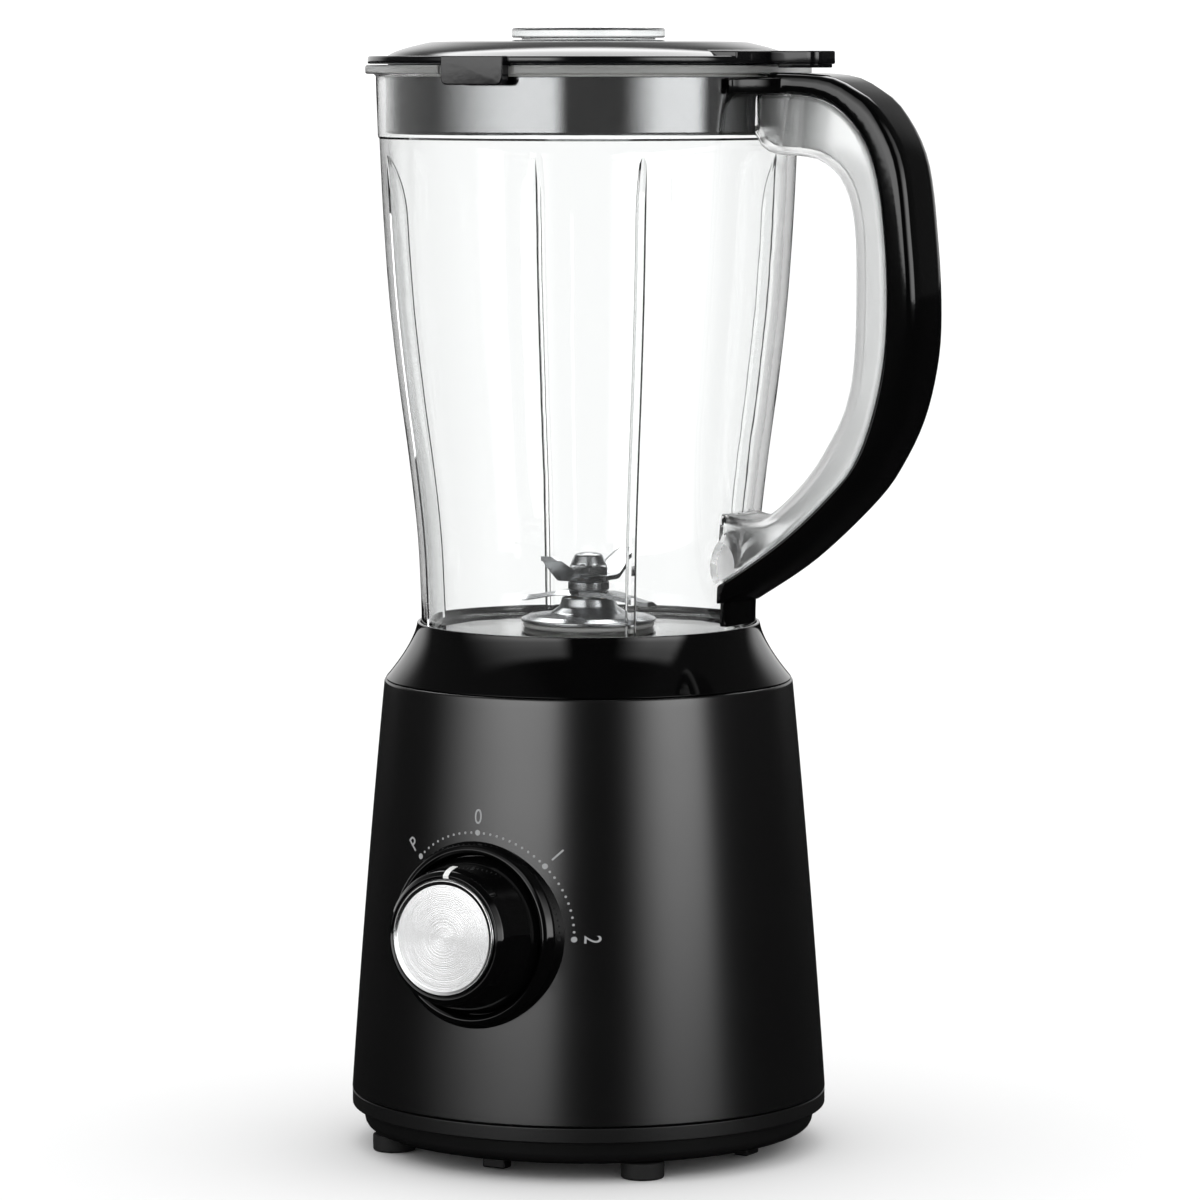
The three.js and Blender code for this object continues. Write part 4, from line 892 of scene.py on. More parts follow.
def makeKnobMark():
    # a white line laid over the knob's front edge
    s = knobSize
    rim = filleted([
        (s["disc"] + 0.35, s["reach"] - 0.86), (s["disc"] + 1.2, s["reach"] - 0.6, 0.5),
        (s["face"] - 1, s["reach"] - 2.2, 1.6), (s["face"], s["reach"] - 5, 3.0),
        (s["face"] + 0.3, s["reach"] - 6.5)], False)
    proud = 0.12
    half = s["markWidth"] / 2
    loops = []
    for i, spot in enumerate(rim):
        ahead = rim[min(i + 1, len(rim) - 1)] - rim[max(i - 1, 0)]
        out = Vector((-ahead.y, ahead.x)).normalized()
        if out.x < 0:
            out.negate()
        above = spot + out * proud
        below = spot - out * proud
        loops.append([Vector((-half, above.x, above.y)), Vector((half, above.x, above.y)),
                      Vector((half, below.x, below.y)), Vector((-half, below.x, below.y))])
    mark = lofted("knobMark", loops)
    mark.data.transform(dialMatrix)
    return finishPiece(mark, "knob", [], markWhite)


scaleMarks = {
    "circle": 33.8, "letterCircle": 38.9, "letterHeight": 7.0, "bigDot": 0.95, "smallDot": 0.4, "between": 10,
    "proud": 0.04, "letters": {"P": -45, "0": 0, "1": 45, "2": 90}}


def ontoHousing(across, up):
    # a point of the dial's plane moved straight in or out onto the housing
    spot = dialMatrix @ Vector((across, up, 0))
    radius = housingRadius(spot.z) + scaleMarks["proud"]
    return Vector((spot.x, -math.sqrt(radius ** 2 - spot.x ** 2), spot.z))


def letterMesh(text):
    curve = bpy.data.curves.new("letter", "FONT")
    curve.body = text
    curve.align_x = "CENTER"
    curve.align_y = "CENTER"
    curve.size = scaleMarks["letterHeight"]
    curve.resolution_u = 6
    letter = newPiece("letter", curve)
    bpy.context.view_layer.update()
    mesh = bpy.data.meshes.new_from_object(letter.evaluated_get(bpy.context.evaluated_depsgraph_get()))
    bpy.data.objects.remove(letter)
    return mesh


def makeScale():
    s = scaleMarks
    points = []
    faces = []

    def addPatch(patch, polygons):
        start = len(points)
        points.extend(ontoHousing(x, y) for x, y in patch)
        faces.extend([start + k for k in polygon] for polygon in polygons)

    def addDot(angle, radius):
        x, y = polar(s["circle"], 90 - angle)
        patch = [(x + dx, y + dy) for dx, dy in (polar(radius, a) for a in bySide(20))]
        addPatch(patch, [list(range(20))])

    step = 45 / (s["between"] + 1)
    for i in range(3 * (s["between"] + 1) + 1):
        onMark = i % (s["between"] + 1) == 0
        addDot(-45 + i * step, s["bigDot"] if onMark else s["smallDot"])
    for text, angle in s["letters"].items():
        mesh = letterMesh(text)
        x, y = polar(s["letterCircle"], 90 - angle)
        turn = Matrix.Rotation(math.radians(-angle), 2)
        patch = []
        for vertex in mesh.vertices:
            spot = turn @ Vector((vertex.co.x * 0.85, vertex.co.y))
            patch.append((x + spot.x, y + spot.y))
        addPatch(patch, [list(polygon.vertices) for polygon in mesh.polygons])
        bpy.data.meshes.remove(mesh)
    mesh = bpy.data.meshes.new("dialScale")
    mesh.from_pydata([tuple(p) for p in points], [], faces)
    scale = newPiece("dialScale", mesh)
    depth = scale.modifiers.new("thickness", "SOLIDIFY")
    depth.thickness = 0.08
    depth.offset = 0
    applyModifiers(scale)
    return finishPiece(scale, "base", [], printInk)


makeBezel()
makeKnob()
makeKnobMark()
makeScale()
print("knob and scale made")


# jar with its handle

jarSize = {
    "skirtBottom": 167, "foot": 56.8, "waist": 183, "floorTop": 176, "floor": 4, "stepHeight": 342.6,
    "stepRadius": 70.5, "rimRadius": 71.7, "rimBottom": 364.1, "rimTop": 367.1, "flange": 75.2, "wall": 2.8,
    "skirtWall": 3.3, "hole": 17.2, "ribDepth": 4.5, "ribWidth": 2.6, "ribTop": 337, "ribTaper": 20,
    "notchHalf": 14.5,
    "shape": [(0, 0), (0.155, 0.085), (0.315, 0.285), (0.49, 0.555), (0.66, 0.77), (0.84, 0.915), (1, 1)]}
boreAtRim = jarSize["rimRadius"] - jarSize["wall"] - 0.1
jarSide = throughPoints([
    (blended(jarSize["foot"], jarSize["stepRadius"], across),
     blended(jarSize["waist"], jarSize["stepHeight"], up))
    for up, across in jarSize["shape"]], 40)


def jarRadius(z):
    s = jarSize
    if z <= s["waist"]:
        return s["foot"]
    if z >= s["stepHeight"]:
        t = (z - s["stepHeight"]) / (s["rimBottom"] - s["stepHeight"])
        return blended(s["stepRadius"], s["rimRadius"], t)
    for a, b in zip(jarSide, jarSide[1:]):
        if z <= b.y:
            return blended(a.x, b.x, (z - a.y) / (b.y - a.y))
    return s["stepRadius"]


def jarCore(grown, low, high):
    # the jar's outer shape, filled, grown by a clearance
    steps = 60
    heights = [blended(low, high, i / steps) for i in range(steps + 1)]
    side = [(jarRadius(z) + grown, z) for z in heights]
    return turned("jarCore", [(0, low)] + side + [(0, high)])


def jarHollow():
    s = jarSize
    side = [(p.x - s["wall"], p.y) for p in jarSide]
    return turned("jarHollow", [(0, s["floorTop"]), (s["foot"] - s["wall"], s["floorTop"], 3)] + side + [
        (boreAtRim, s["stepHeight"] + 0.4), (boreAtRim, s["rimTop"] + 1), (0, s["rimTop"] + 1)])


handleSize = {
    "foot": 194, "head": 357.4, "reach": 117.8, "half": 12, "wall": 2.6, "seamEdge": 2.6, "backEdge": 6.5,
    "stations": 56, "flare": 25, "tailHalf": 10, "gap": 0.3, "pocketOver": 3,
    "webs": (0.07, 0.12, 0.885, 0.925), "webHalf": 0.7,
    "padUp": 7.5, "pad": (11, 15.5, 12.5),
    "seam": [(-0.2, -0.04), (0.318, 0.084), (0.661, 0.194), (0.83, 0.272), (0.95, 0.4), (1, 0.53),
             (0.993, 0.69), (0.93, 0.85), (0.793, 0.944), (0.55, 0.995), (0.05, 1)],
    "back": [(0.077, -0.032), (0.441, 0.056), (0.818, 0.184), (0.98, 0.267), (1.1, 0.36), (1.17, 0.47),
             (1.185, 0.571), (1.16, 0.711), (1.1, 0.87), (0.951, 0.968), (0.8, 1.012), (0.6, 1.04),
             (0.1, 1.046)],
    "front": [(-0.2, 0.17), (0.1, 0.143), (0.25, 0.142), (0.38, 0.172), (0.544, 0.233), (0.667, 0.3),
              (0.766, 0.374), (0.815, 0.465), (0.828, 0.618), (0.813, 0.749), (0.741, 0.828), (0.61, 0.868),
              (0.46, 0.878), (0.34, 0.881), (0.262, 0.893), (0.215, 0.918), (0.17, 0.955)]}


def handleLine(key, steps):
    s = handleSize
    return throughPoints([
        (blended(jarSize["foot"], s["reach"], across), blended(s["foot"], s["head"], up))
        for across, up in s[key]], steps)


def makeRib(angle):
    s = jarSize
    low, high = s["floorTop"] - 1, s["ribTop"]
    heights = [blended(low, high - s["ribTaper"], i / 40) for i in range(40)]
    heights += [high - s["ribTaper"] * (1 - i / 12) for i in range(13)]
    loops = []
    for z in heights:
        outer = jarRadius(z) - s["wall"] / 2
        ending = min(1, (high - z) / s["ribTaper"])
        depth = s["wall"] / 2 + s["ribDepth"] * (1 - (1 - ending) ** 2) + 0.02
        half = s["ribWidth"] / 2
        inner = outer - depth
        shoulder = inner + 0.9 * min(depth, 1)
        loops.append([Vector((x, y, z)) for x, y in (
            (outer, -half), (shoulder, -half), (inner, -half * 0.35),
            (inner, half * 0.35), (shoulder, half), (outer, half))])
    rib = lofted("rib", loops)
    rib.data.transform(spun(angle))
    return rib


def makeChannel():
    # the clear half of the handle: a trough that opens towards the grip, with a pad at its lower root
    s = handleSize
    steps = s["stations"]
    seam = handleLine("seam", steps)
    front = handleLine("front", steps)

    def between(outer, inner):
        # the outline of what lies between a line beside the seam and one beside the front
        return movedAside(seam, outer) + movedAside(front, inner)[::-1]

    channel = slab("channel", between(-s["gap"], 0), s["half"], 1.4, 4)
    pocket = slab("pocket", between(s["pocketOver"], s["wall"]), s["half"] - s["wall"], 1.0, 3)
    webs = []
    for share in s["webs"]:
        i = int(share * steps)
        along = (front[i + 1] - front[i - 1]).normalized()
        far = front[i] + Vector((along.y, -along.x)) * 30
        half = along * s["webHalf"]
        webs.append(slab("web", [front[i] - half, front[i] + half, far + half, far - half], s["half"] - 1))
    ribs = webs[0]
    join(ribs, *webs[1:])
    common(ribs, slab("keep", between(-0.5, 0.5), s["half"] - 1))
    cut(channel, pocket)
    join(channel, ribs)
    arc = [polar(1, angle) for angle in range(-80, 81, 8)]
    pad = turned("rootPad", [(0, -1)] + arc + [(0, 1)], 64,
                 Matrix.Translation((jarSize["foot"] - 1, 0, s["foot"] + s["padUp"]))
                 @ Matrix.Diagonal((*s["pad"], 1)))
    side = movedAside(seam, -s["gap"])
    common(pad, slab("side", side + [(20, s["head"]), (20, side[0].y)], 40))
    return channel, pad


def makeJar():
    s = jarSize
    floorBottom = s["floorTop"] - s["floor"]
    sides = [(p.x, p.y) for p in jarSide]
    wall = turned("jarVessel", [
        (s["foot"] - s["skirtWall"], s["skirtBottom"], 0.6),
        (s["foot"], s["skirtBottom"], 0.6)] + sides[:-1] + [
        (s["stepRadius"], s["stepHeight"] - 0.1, 0.3),
        (s["stepRadius"] + 0.5, s["stepHeight"] + 0.5, 0.3),
        (s["rimRadius"], s["rimBottom"] - 0.7, 0.6),
        (s["rimRadius"] + 0.7, s["rimBottom"], 0.3),
        (s["flange"], s["rimBottom"], 0.8),
        (s["flange"], s["rimTop"], 0.9),
        (boreAtRim, s["rimTop"], 0.5),
        (boreAtRim, s["stepHeight"] + 0.4, 0.3)] + [(r - s["wall"], z) for r, z in reversed(sides[1:])] + [
        (s["foot"] - s["wall"] - 0.2, s["floorTop"] + 5),
        (s["foot"] - s["wall"] - 0.4, s["floorTop"], 5),
        (s["hole"], s["floorTop"], 0.4),
        (s["hole"], floorBottom, 0.4),
        (s["foot"] - s["skirtWall"], floorBottom, 0.8),
    ])
    channel, pad = makeChannel()
    join(channel, pad)
    cut(channel, jarHollow())
    join(wall, channel, *[makeRib(angle) for angle in bySide(4, 45)])
    reach = s["flange"] + 2
    notches = []
    for side in (0, 180):
        notch = block("notch", (-s["notchHalf"], -reach, s["rimBottom"] - 1),
                      (s["notchHalf"], -s["rimRadius"] - 0.4, s["rimTop"] + 1))
        notch.data.transform(spun(side))
        notches.append(notch)
    cut(wall, *notches)
    return finishPiece(wall, "jar", ["jar"], jarClear, 28)


def gripSection(start, end, half):
    # a rounded section between the seam point and the outer point of one station
    s = handleSize
    out = end - start
    depth = out.length
    out.normalize()
    line = filleted([
        (0, -half, s["seamEdge"]), (depth, -half, min(s["backEdge"], depth * 0.45)),
        (depth, half, min(s["backEdge"], depth * 0.45)), (0, half, s["seamEdge"])], True)
    return [Vector((start.x + out.x * p.x, p.y, start.y + out.y * p.x)) for p in line]


def makeGrip():
    s = handleSize
    seam = handleLine("seam", s["stations"])
    back = handleLine("back", s["stations"])
    grip = lofted("handleGrip", [gripSection(a, b, s["half"]) for a, b in zip(seam, back)])
    foot, half = jarSize["foot"], s["tailHalf"]
    tail = block("tail", (foot - 6, -half, jarSize["waist"] - 2.6), (foot + 2.6, half, s["foot"] - 2), 1.0)
    rim, flange = jarSize["rimRadius"], jarSize["flange"] + s["gap"]
    edge = math.sqrt(rim ** 2 - s["flare"] ** 2) + 1.5
    low, high = s["head"] + 0.3, jarSize["rimBottom"] - 1.2
    start, end = Vector((edge, -s["flare"])), Vector((rim + 13, -s["half"] + 2))
    pull = Vector((rim + 2, -s["half"] - 1.5))
    curve = [Vector((40, -s["flare"]))]
    for k in range(13):
        t = k / 12
        curve.append(start * (1 - t) ** 2 + pull * 2 * t * (1 - t) + end * t ** 2)
    flare = plate("flare", curve + [(p.x, -p.y) for p in reversed(curve)], low, high, 0.8)
    join(grip, tail, flare)
    gapLow, gapHigh = jarSize["rimBottom"] - 0.9, jarSize["rimTop"] + 2
    rimGap = turned("rimGap", [(0, gapLow), (flange, gapLow), (flange, gapHigh), (0, gapHigh)])
    cut(grip, jarCore(s["gap"], jarSize["skirtBottom"] - 5, jarSize["rimBottom"]), rimGap)
    return finishPiece(grip, "jar", ["handle_grip"], glossBlack, 40)


makeJar()
makeGrip()
print("jar and handle made")


# blade unit

holderSize = {"radius": 23, "hole": 7.3, "neck": 16.9}


def makeHolder():
    s = holderSize
    span = Span("blade_holder")
    seal = Span("blade_seal")
    flange = seal.top + 0.3
    holder = turned("bladeHolder", [
        (s["hole"], span.bottom, 0.2),
        (s["neck"], span.bottom, 0.8),
        (s["neck"], flange, 0.2),
        (s["radius"], flange, 0.3),
        (s["radius"], flange + 1.2, 0.6),
        (s["radius"] - 3, flange + 2.5, 1.2),
        (13, flange + 3.5, 3.0),
        (9.8, flange + 5.8, 2.0),
        (9, span.top, 0.7),
        (s["hole"], span.top, 0.3),
    ], 96)
    finishPiece(holder, "jar", ["blade_holder"], bladeSteel)
    ring = turned("bladeSeal", [
        (jarSize["hole"] + 0.1, seal.bottom, 0.5), (seal.radius, seal.bottom, 0.7),
        (seal.radius, seal.top, 0.7), (jarSize["hole"] + 0.1, seal.top, 0.5)], 96)
    finishPiece(ring, "jar", ["blade_seal"], sealRubber)


def makeHolderNut():
    span = Span("holder_nut")
    nut = turned("holderNut", [
        (jarSize["hole"], span.bottom, 0.5), (26, span.bottom, 0.8), (26, span.top, 0.4),
        (jarSize["hole"], span.top, 0.3)], 96)
    lobes = []
    for angle in bySide(6):
        lobe = block("lobe", (24, -2.5, span.bottom), (29, 2.5, span.top), 0.8)
        lobe.data.transform(spun(angle))
        lobes.append(lobe)
    join(nut, *lobes)
    return finishPiece(nut, "jar", ["holder_nut"], mattBlack)


bladeSize = {"span": 25, "width": 11, "thick": 1.6, "knee": 11, "bolt": 4.3, "ground": 2.6}


def inOrder(loops):
    # every section with its corners in the same order round
    ordered = []
    for loop in loops:
        middle = sum(p.y for p in loop) / len(loop)
        base = min(p.z for p in loop)
        ordered.append(sorted(loop, key=lambda p: math.atan2(p.z - base - 0.6, p.y - middle)))
    return ordered


def bladePair(name, low, bend, turn, node):
    # two swept arms in one strip: flat over the bolt, then bent, and ground to an edge along one side
    s = bladeSize
    loops = []
    steps = 30
    for i in range(steps + 1):
        x = blended(-s["span"], s["span"], i / steps)
        side = 1 if x >= 0 else -1
        far = abs(x)
        bent = max(far - s["knee"] + 1.5, 0) / (s["span"] - s["knee"])
        z = low + bend * min(bent, 1) * 0.97
        taper = far / s["span"]
        lead = blended(s["width"] * 0.62, s["width"] * 0.22, taper ** 1.6)
        trail = blended(s["width"] * 0.62, s["width"] * 0.36, taper ** 2.2)
        section = [
            (-trail, 0), (-trail, s["thick"]), (lead - s["ground"], s["thick"]), (lead, 0.25), (lead, 0)]
        loops.append([Vector((x, side * y, z + dz)) for y, dz in section])
    blade = lofted(name, inOrder(loops))
    cut(blade, upright(s["bolt"], low - 5, low + 5))
    blade.data.transform(spun(turn))
    return finishPiece(blade, "blades", [node], bladeSteel, 20)


def makeBlades():
    lower = Span("lower_blade")
    upper = Span("upper_blade")
    thick, bolt = bladeSize["thick"], bladeSize["bolt"]
    bladePair("lowerBlade", lower.top - thick, lower.bottom - lower.top + thick, 0, "lower_blade")
    bladePair("upperBlade", upper.bottom, upper.top - upper.bottom - thick, 90, "upper_blade")
    spacer = Span("blade_spacer")
    ring = turned("bladeSpacer", [
        (bolt, spacer.bottom), (spacer.radius, spacer.bottom, 0.5),
        (spacer.radius, spacer.top, 0.5), (bolt, spacer.top)], smallFaces)
    finishPiece(ring, "blades", ["blade_spacer"], bladeSteel)


def makeAcornNut():
    span = Span("acorn_nut")
    hexTop = span.bottom + 3.4
    nut = plate("acornNut", [polar(7.4, a) for a in bySide(6)], span.bottom, hexTop, 0.45)
    cone = turned("chamfer", [
        (0, span.bottom - 1), (7.9, span.bottom - 1), (7.9, hexTop - 1.2), (6.3, hexTop + 0.01),
        (0, hexTop + 0.01)])
    common(nut, cone)
    dome = turned("dome", [
        (0, hexTop - 1), (6, hexTop - 1), (5.9, hexTop + 0.8, 1.2), (4.7, span.top - 0.7, 1.5),
        (2.2, span.top - 0.05, 1.0), (0, span.top)], smallFaces)
    join(nut, dome)
    return finishPiece(nut, "blades", ["acorn_nut"], bladeSteel)


couplingSize = {"radius": 13, "plate": 3.2, "dogs": 6, "inner": 7.5, "bore": 4.3}


def makeCouplingHalf(name, node, body, face, direction, start):
    # a plate with a ring of teeth; direction is 1 for teeth that point up
    s = couplingSize
    span = Span(node)
    far = span.top if direction > 0 else span.bottom
    plateEnd = face + direction * s["plate"]
    low, high = sorted((face, plateEnd))
    half = turned(name, [(0, low), (s["radius"], low, 0.6), (s["radius"], high, 0.6), (0, high)], 96)
    dogSpan = 180 / s["dogs"] - 4
    dogs = []
    for angle in bySide(s["dogs"], start):
        outer = [polar(s["radius"] - 0.3, angle + dogSpan * (k / 6 - 0.5)) for k in range(7)]
        inner = [polar(s["inner"], angle + dogSpan * (0.5 - k / 6)) for k in range(7)]
        dogs.append(plate("dog", outer + inner, *sorted((plateEnd - direction * 0.5, far)), 0.5, 2))
    join(half, *dogs)
    boreLow, boreHigh = sorted((face - direction, plateEnd - direction * 0.5))
    cut(half, upright(s["bore"], boreLow, boreHigh))
    return finishPiece(half, body, [node], mattBlack)


makeHolder()
makeHolderNut()
makeBlades()
makeAcornNut()
makeCouplingHalf("driveCoupling", "drive_coupling", "motor", Span("drive_coupling").bottom, 1, 0)
makeCouplingHalf("drivenCoupling", "driven_coupling", "blades", Span("driven_coupling").top, -1, 30)
print("blade unit made")


# lid, its steel band and the filler cup

lidSize = {
    "flange": 74.4, "hole": 22.9, "wall": 2.2, "plugWall": 2.6, "tabHalf": 11.7, "tabReach": 76.9, "tabDrop": 6.8,
    "padHalf": 25, "padInner": 54.8, "handleTabHalf": 8, "handleTabReach": 91, "corner": 4}


def roundedTab(half, low, high, radius):
    outline = [(-half, high)]
    for centre, start in ((-half + radius, 180), (half - radius, 270)):
        for k in range(7):
            x, z = polar(radius, start + 15 * k)
            outline.append((centre + x, low + radius + z))
    return outline + [(half, high)]


def makeLid():
    s = lidSize
    span = Span("lid")
    under = jarSize["rimTop"] + 0.3
    flangeTop = under + 2.7
    domeTop = flangeTop + 5
    bandInner = Span("lid_band").radius - 0.5
    plug = bandInner - 0.3
    plugLow = span.bottom
    top = throughPoints([(26.6, domeTop), (40, domeTop - 0.03), (52.1, domeTop - 0.3), (56.2, domeTop - 1.0),
                         (61.4, domeTop - 2.3), (65.5, domeTop - 3.7), (67.6, flangeTop + 0.15)], 26)
    cover = turned("lidCover", [
        (s["hole"], domeTop + 0.4, 0.4),
        (s["hole"] + 2.5, domeTop + 0.4, 0.5),
        (s["hole"] + 3.2, domeTop, 0.4)] + [(p.x, p.y) for p in top] + [
        (67.9, flangeTop, 0.2),
        (s["flange"], flangeTop, 0.9),
        (s["flange"], under, 0.8),
        (plug, under, 0.3),
        (plug, plugLow, 0.6),
        (plug - s["plugWall"], plugLow, 0.6),
        (plug - s["plugWall"], under - 1, 1.5),
        (60, domeTop - 2.4 - s["wall"], 1),
        (52, domeTop - 0.6 - s["wall"], 1),
        (s["hole"] + 2.2, domeTop - 0.4 - s["wall"], 0.8),
        (s["hole"] + 2.2, under - 3, 0.4),
        (s["hole"], under - 3, 0.4),
    ])
    tabInner = jarSize["rimRadius"] + 0.5
    parts = []
    for side in (0, 180):
        tab = slab("tab", roundedTab(s["tabHalf"], under - s["tabDrop"], flangeTop, 2.2),
                   (s["tabReach"] - tabInner) / 2, 0.5, 3)
        tab.data.transform(spun(side) @ Matrix.Translation((0, -(s["tabReach"] + tabInner) / 2, 0)))
        parts.append(tab)
    padTop = domeTop - 3.3
    reach = math.degrees(math.asin(s["padHalf"] / s["flange"]))
    rim = [polar(s["flange"], blended(-reach, reach, k / 24)) for k in range(25)]
    parts.append(plate("pad", [(s["padInner"], -s["padHalf"])] + rim + [(s["padInner"], s["padHalf"])],
                       under + 0.6, padTop, 0.6))
    half, end, corner = s["handleTabHalf"], s["handleTabReach"], s["corner"]
    outline = [(s["flange"] - 6, -half)]
    for side, start in ((-1, -90), (1, 0)):
        for k in range(9):
            x, y = polar(corner, start + 90 * k / 8)
            outline.append((end - corner + x, side * (half - corner) + y))
    outline.append((s["flange"] - 6, half))
    parts.append(plate("handleTab", outline, under, padTop, 0.6))
    lipOutline = [(jarSize["flange"] + 0.8, -half + 0.8)] + [(x - 0.8, y * 0.9) for x, y in outline[1:-1]] + [
        (jarSize["flange"] + 0.8, half - 0.8)]
    parts.append(plate("lip", lipOutline, under - 1.2, under + 1, 0.4))
    join(cover, *parts)
    return finishPiece(cover, "lid", ["lid"], lidBlack, 40)


def makeBand():
    span = Span("lid_band")
    inner = span.radius - 0.5
    band = turned("lidBand", [
        (inner, span.bottom + 0.3), (inner + 0.1, span.bottom, 0.1), (span.radius, span.bottom + 0.1, 0.3),
        (span.radius, span.top - 0.1, 0.3), (inner + 0.1, span.top, 0.1), (inner, span.top - 0.3)])
    finishPiece(band, "lid", ["lid_band"], bandSteel)
    seal = Span("lid_seal")
    ring = turned("lidSeal", [
        (inner, seal.bottom, 0.3), (seal.radius, seal.bottom, 1.2), (seal.radius, seal.top, 1.2),
        (inner, seal.top, 0.3)])
    finishPiece(ring, "lid", ["lid_seal"], sealRubber)


cupSize = {"radius": 25.8, "neck": 22.5, "disc": 3.3, "wall": 1.9, "rim": 0.9}


def makeCup():
    s = cupSize
    span = Span("measuring_cup")
    discLow = span.top - s["disc"]
    top = span.top - s["rim"]
    cup = turned("measuringCup", [
        (0, top),
        (s["radius"] - 2.6, top, 0.5),
        (s["radius"] - 1.7, span.top, 0.4),
        (s["radius"], span.top, 0.9),
        (s["radius"], discLow, 0.7),
        (s["neck"], discLow, 0.5),
        (s["neck"], span.bottom, 0.6),
        (s["neck"] - s["wall"], span.bottom, 0.6),
        (s["neck"] - s["wall"], top - 2, 1.6),
        (0, top - 2),
    ])
    return finishPiece(cup, "cup", ["measuring_cup"], cupClear)


makeLid()
makeBand()
makeCup()
print("lid and cup made")


# inner pieces keep their shapes and get their finishes

def numbered(stem, count):
    return [f"{stem}_{i}" for i in range(1, count + 1)]


innerFinishes = [
    (redPlastic, ["rotary_switch", "micro_switch"]),
    (whitePlastic, ["switch_shaft", "interlock_pin"]),
    (sheetSteel, ["stator", "armature_core"]),
    (copperWire, ["armature_winding"] + numbered("field_coil", 2)),
    (copperBar, ["commutator"]),
    (zincSteel, ["lower_bracket", "upper_bracket", "motor_shaft", "blade_shaft", "interlock_spring"]),
    (bronze, ["lower_bearing", "upper_bearing", "upper_bush", "lower_bush"] + numbered("brush_holder", 2)),
    (graphite, numbered("carbon_brush", 2)),
    (mattBlack, ["cooling_fan"]),
    (blackRubber, numbered("motor_mount", 4))]
for finish, nodes in innerFinishes:
    for node in nodes:
        piece = smoothed(frame["nodes"][node])
        piece.data.materials.clear()
        piece.data.materials.append(finish)
print("inner pieces finished")


# floor and studio light

studio = {
    "floor": 60.0, "floorColour": (0.9, 0.9, 0.9), "darkFloor": 0.012, "white": 1.25,
    "around": 0.05, "between": 0.004, "backdrop": 0.9, "overhead": 5.0, "clearEdge": 0.8,
    # each panel in degrees round from the front towards the handle: where its light starts,
    # is full, starts to fall and ends, and how bright it is
    "panels": [(-68, -10, 8, 19, 3.6), (47, 74, 91, 101, 3.8)],
    # how the panels' light falls with height, as (degrees up, share)
    "fall": [(9, 1.0), (24, 0.45), (40, 0.3), (50, 0.0)]}


def wasMirrored(tree):
    # 1 once a ray has bounced off a glossy surface; a bounce inside one clear wall counts for less,
    # so that clear edges stay pale
    path = tree.nodes.new("ShaderNodeLightPath").outputs
    bounced = calc(tree, "GREATER_THAN", path["Glossy Depth"], 0.5)
    entered = calc(tree, "GREATER_THAN", path["Transmission Depth"], 0.5)
    oneWall = calc(tree, "MULTIPLY", entered, calc(tree, "LESS_THAN", path["Transmission Depth"], 3.5))
    return calc(tree, "MULTIPLY", bounced, calc(tree, "MULTIPLY_ADD", oneWall, -studio["clearEdge"], 1.0))


def makeFloor():
    half = studio["floor"]
    corners = [(-half, -half, 0), (half, -half, 0), (half, half, 0), (-half, half, 0)]
    floor = fromFaces("floor", corners, [[0, 1, 2, 3]])
    material, tree, shader, place = newMaterial("floorPaint", {"Roughness": 0.9, "Specular IOR Level": 0.0})
    useTone(tree, shader, place, {"colour": studio["floorColour"], "drift": 0.995, "patches": 3.0})
    # mirrored in a glossy surface it is dark, as if the light stopped short of it
    paint = shader.inputs["Base Color"].links[0].from_socket
    mix = addNode(tree, "Mix", {"Factor": wasMirrored(tree)}, data_type="RGBA")
    tree.links.new(paint, mix.inputs["A"])
    mix.inputs["B"].default_value = rgba([studio["darkFloor"]] * 3)
    tree.links.new(mix.outputs["Result"], shader.inputs["Base Color"])
    floor.data.materials.append(material)


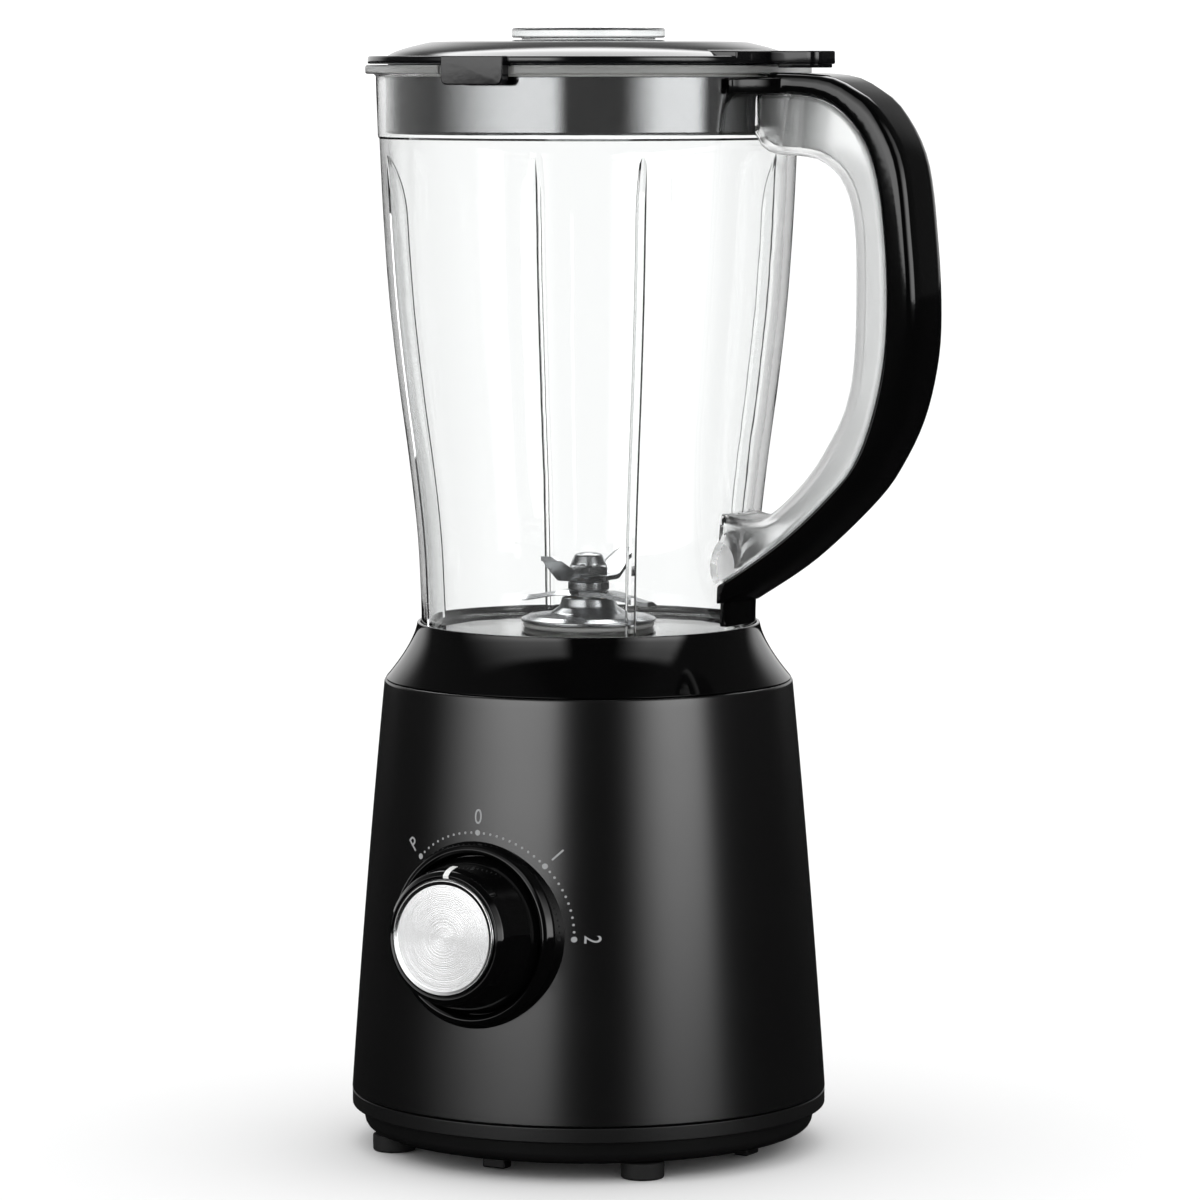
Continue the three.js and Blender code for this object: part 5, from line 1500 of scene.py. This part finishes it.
def makeWorld():
    # a white room that shows behind the object, and tall soft panels that its glossy surfaces mirror
    s = studio
    world = bpy.data.worlds.new("studio")
    scene.world = world
    world.use_nodes = True
    tree = world.node_tree
    tree.nodes.clear()
    ray = tree.nodes.new("ShaderNodeTexCoord").outputs["Generated"]
    way = addNode(tree, "SeparateXYZ", {0: ray}).outputs
    forward = calc(tree, "MULTIPLY", way["Y"], -1.0)
    azimuth = calc(tree, "DEGREES", calc(tree, "ARCTAN2", way["X"], forward))
    elevation = calc(tree, "DEGREES", calc(tree, "ARCSINE", way["Z"]))
    panels = calc(tree, "ADD", *[
        calc(tree, "MULTIPLY", ramp(tree, azimuth, start, full, 0.0, power),
             ramp(tree, azimuth, fall, end, 1.0, 0.0))
        for start, full, fall, end, power in s["panels"]])
    share = None
    for (low, before), (high, after) in zip(s["fall"], s["fall"][1:]):
        step = ramp(tree, elevation, low, high, 0.0, after - before)
        share = calc(tree, "ADD", step, before) if share is None else calc(tree, "ADD", share, step)
    lit = calc(tree, "MULTIPLY", panels, share)
    # dim light all round, almost none straight ahead between the panels
    fromSide = calc(tree, "SUBTRACT", azimuth, view["side"])
    dim = ramp(tree, calc(tree, "ABSOLUTE", fromSide), 30.0, 70.0, s["between"], s["around"])
    lit = calc(tree, "ADD", lit, dim)
    # a low light behind the machine and a soft one above it
    behind = calc(tree, "WRAP", fromSide, 360.0, 0.0)
    fromBack = calc(tree, "ABSOLUTE", calc(tree, "SUBTRACT", behind, 180.0))
    backdrop = calc(tree, "MULTIPLY", ramp(tree, fromBack, 34.0, 52.0, s["backdrop"], 0.0),
                    ramp(tree, elevation, 10.0, 28.0, 1.0, 0.2))
    overhead = calc(tree, "MULTIPLY", ramp(tree, fromBack, 24.0, 44.0, s["overhead"], 0.0),
                    calc(tree, "MULTIPLY", ramp(tree, elevation, 30.0, 38.0, 0.0, 1.0),
                         ramp(tree, elevation, 58.0, 68.0, 1.0, 0.0)))
    mirrored = calc(tree, "ADD", calc(tree, "ADD", lit, backdrop), overhead)
    glossy = addNode(tree, "Background", {"Color": rgba((1, 1, 1)), "Strength": mirrored})
    white = addNode(tree, "Background", {"Color": rgba((1, 1, 1)), "Strength": s["white"]})
    mix = addNode(tree, "MixShader", {"Fac": wasMirrored(tree)})
    tree.links.new(white.outputs[0], mix.inputs[1])
    tree.links.new(glossy.outputs[0], mix.inputs[2])
    out = tree.nodes.new("ShaderNodeOutputWorld")
    tree.links.new(mix.outputs[0], out.inputs["Surface"])


makeFloor()
makeWorld()
scene.view_settings.view_transform = "Standard"
print("floor and light made")
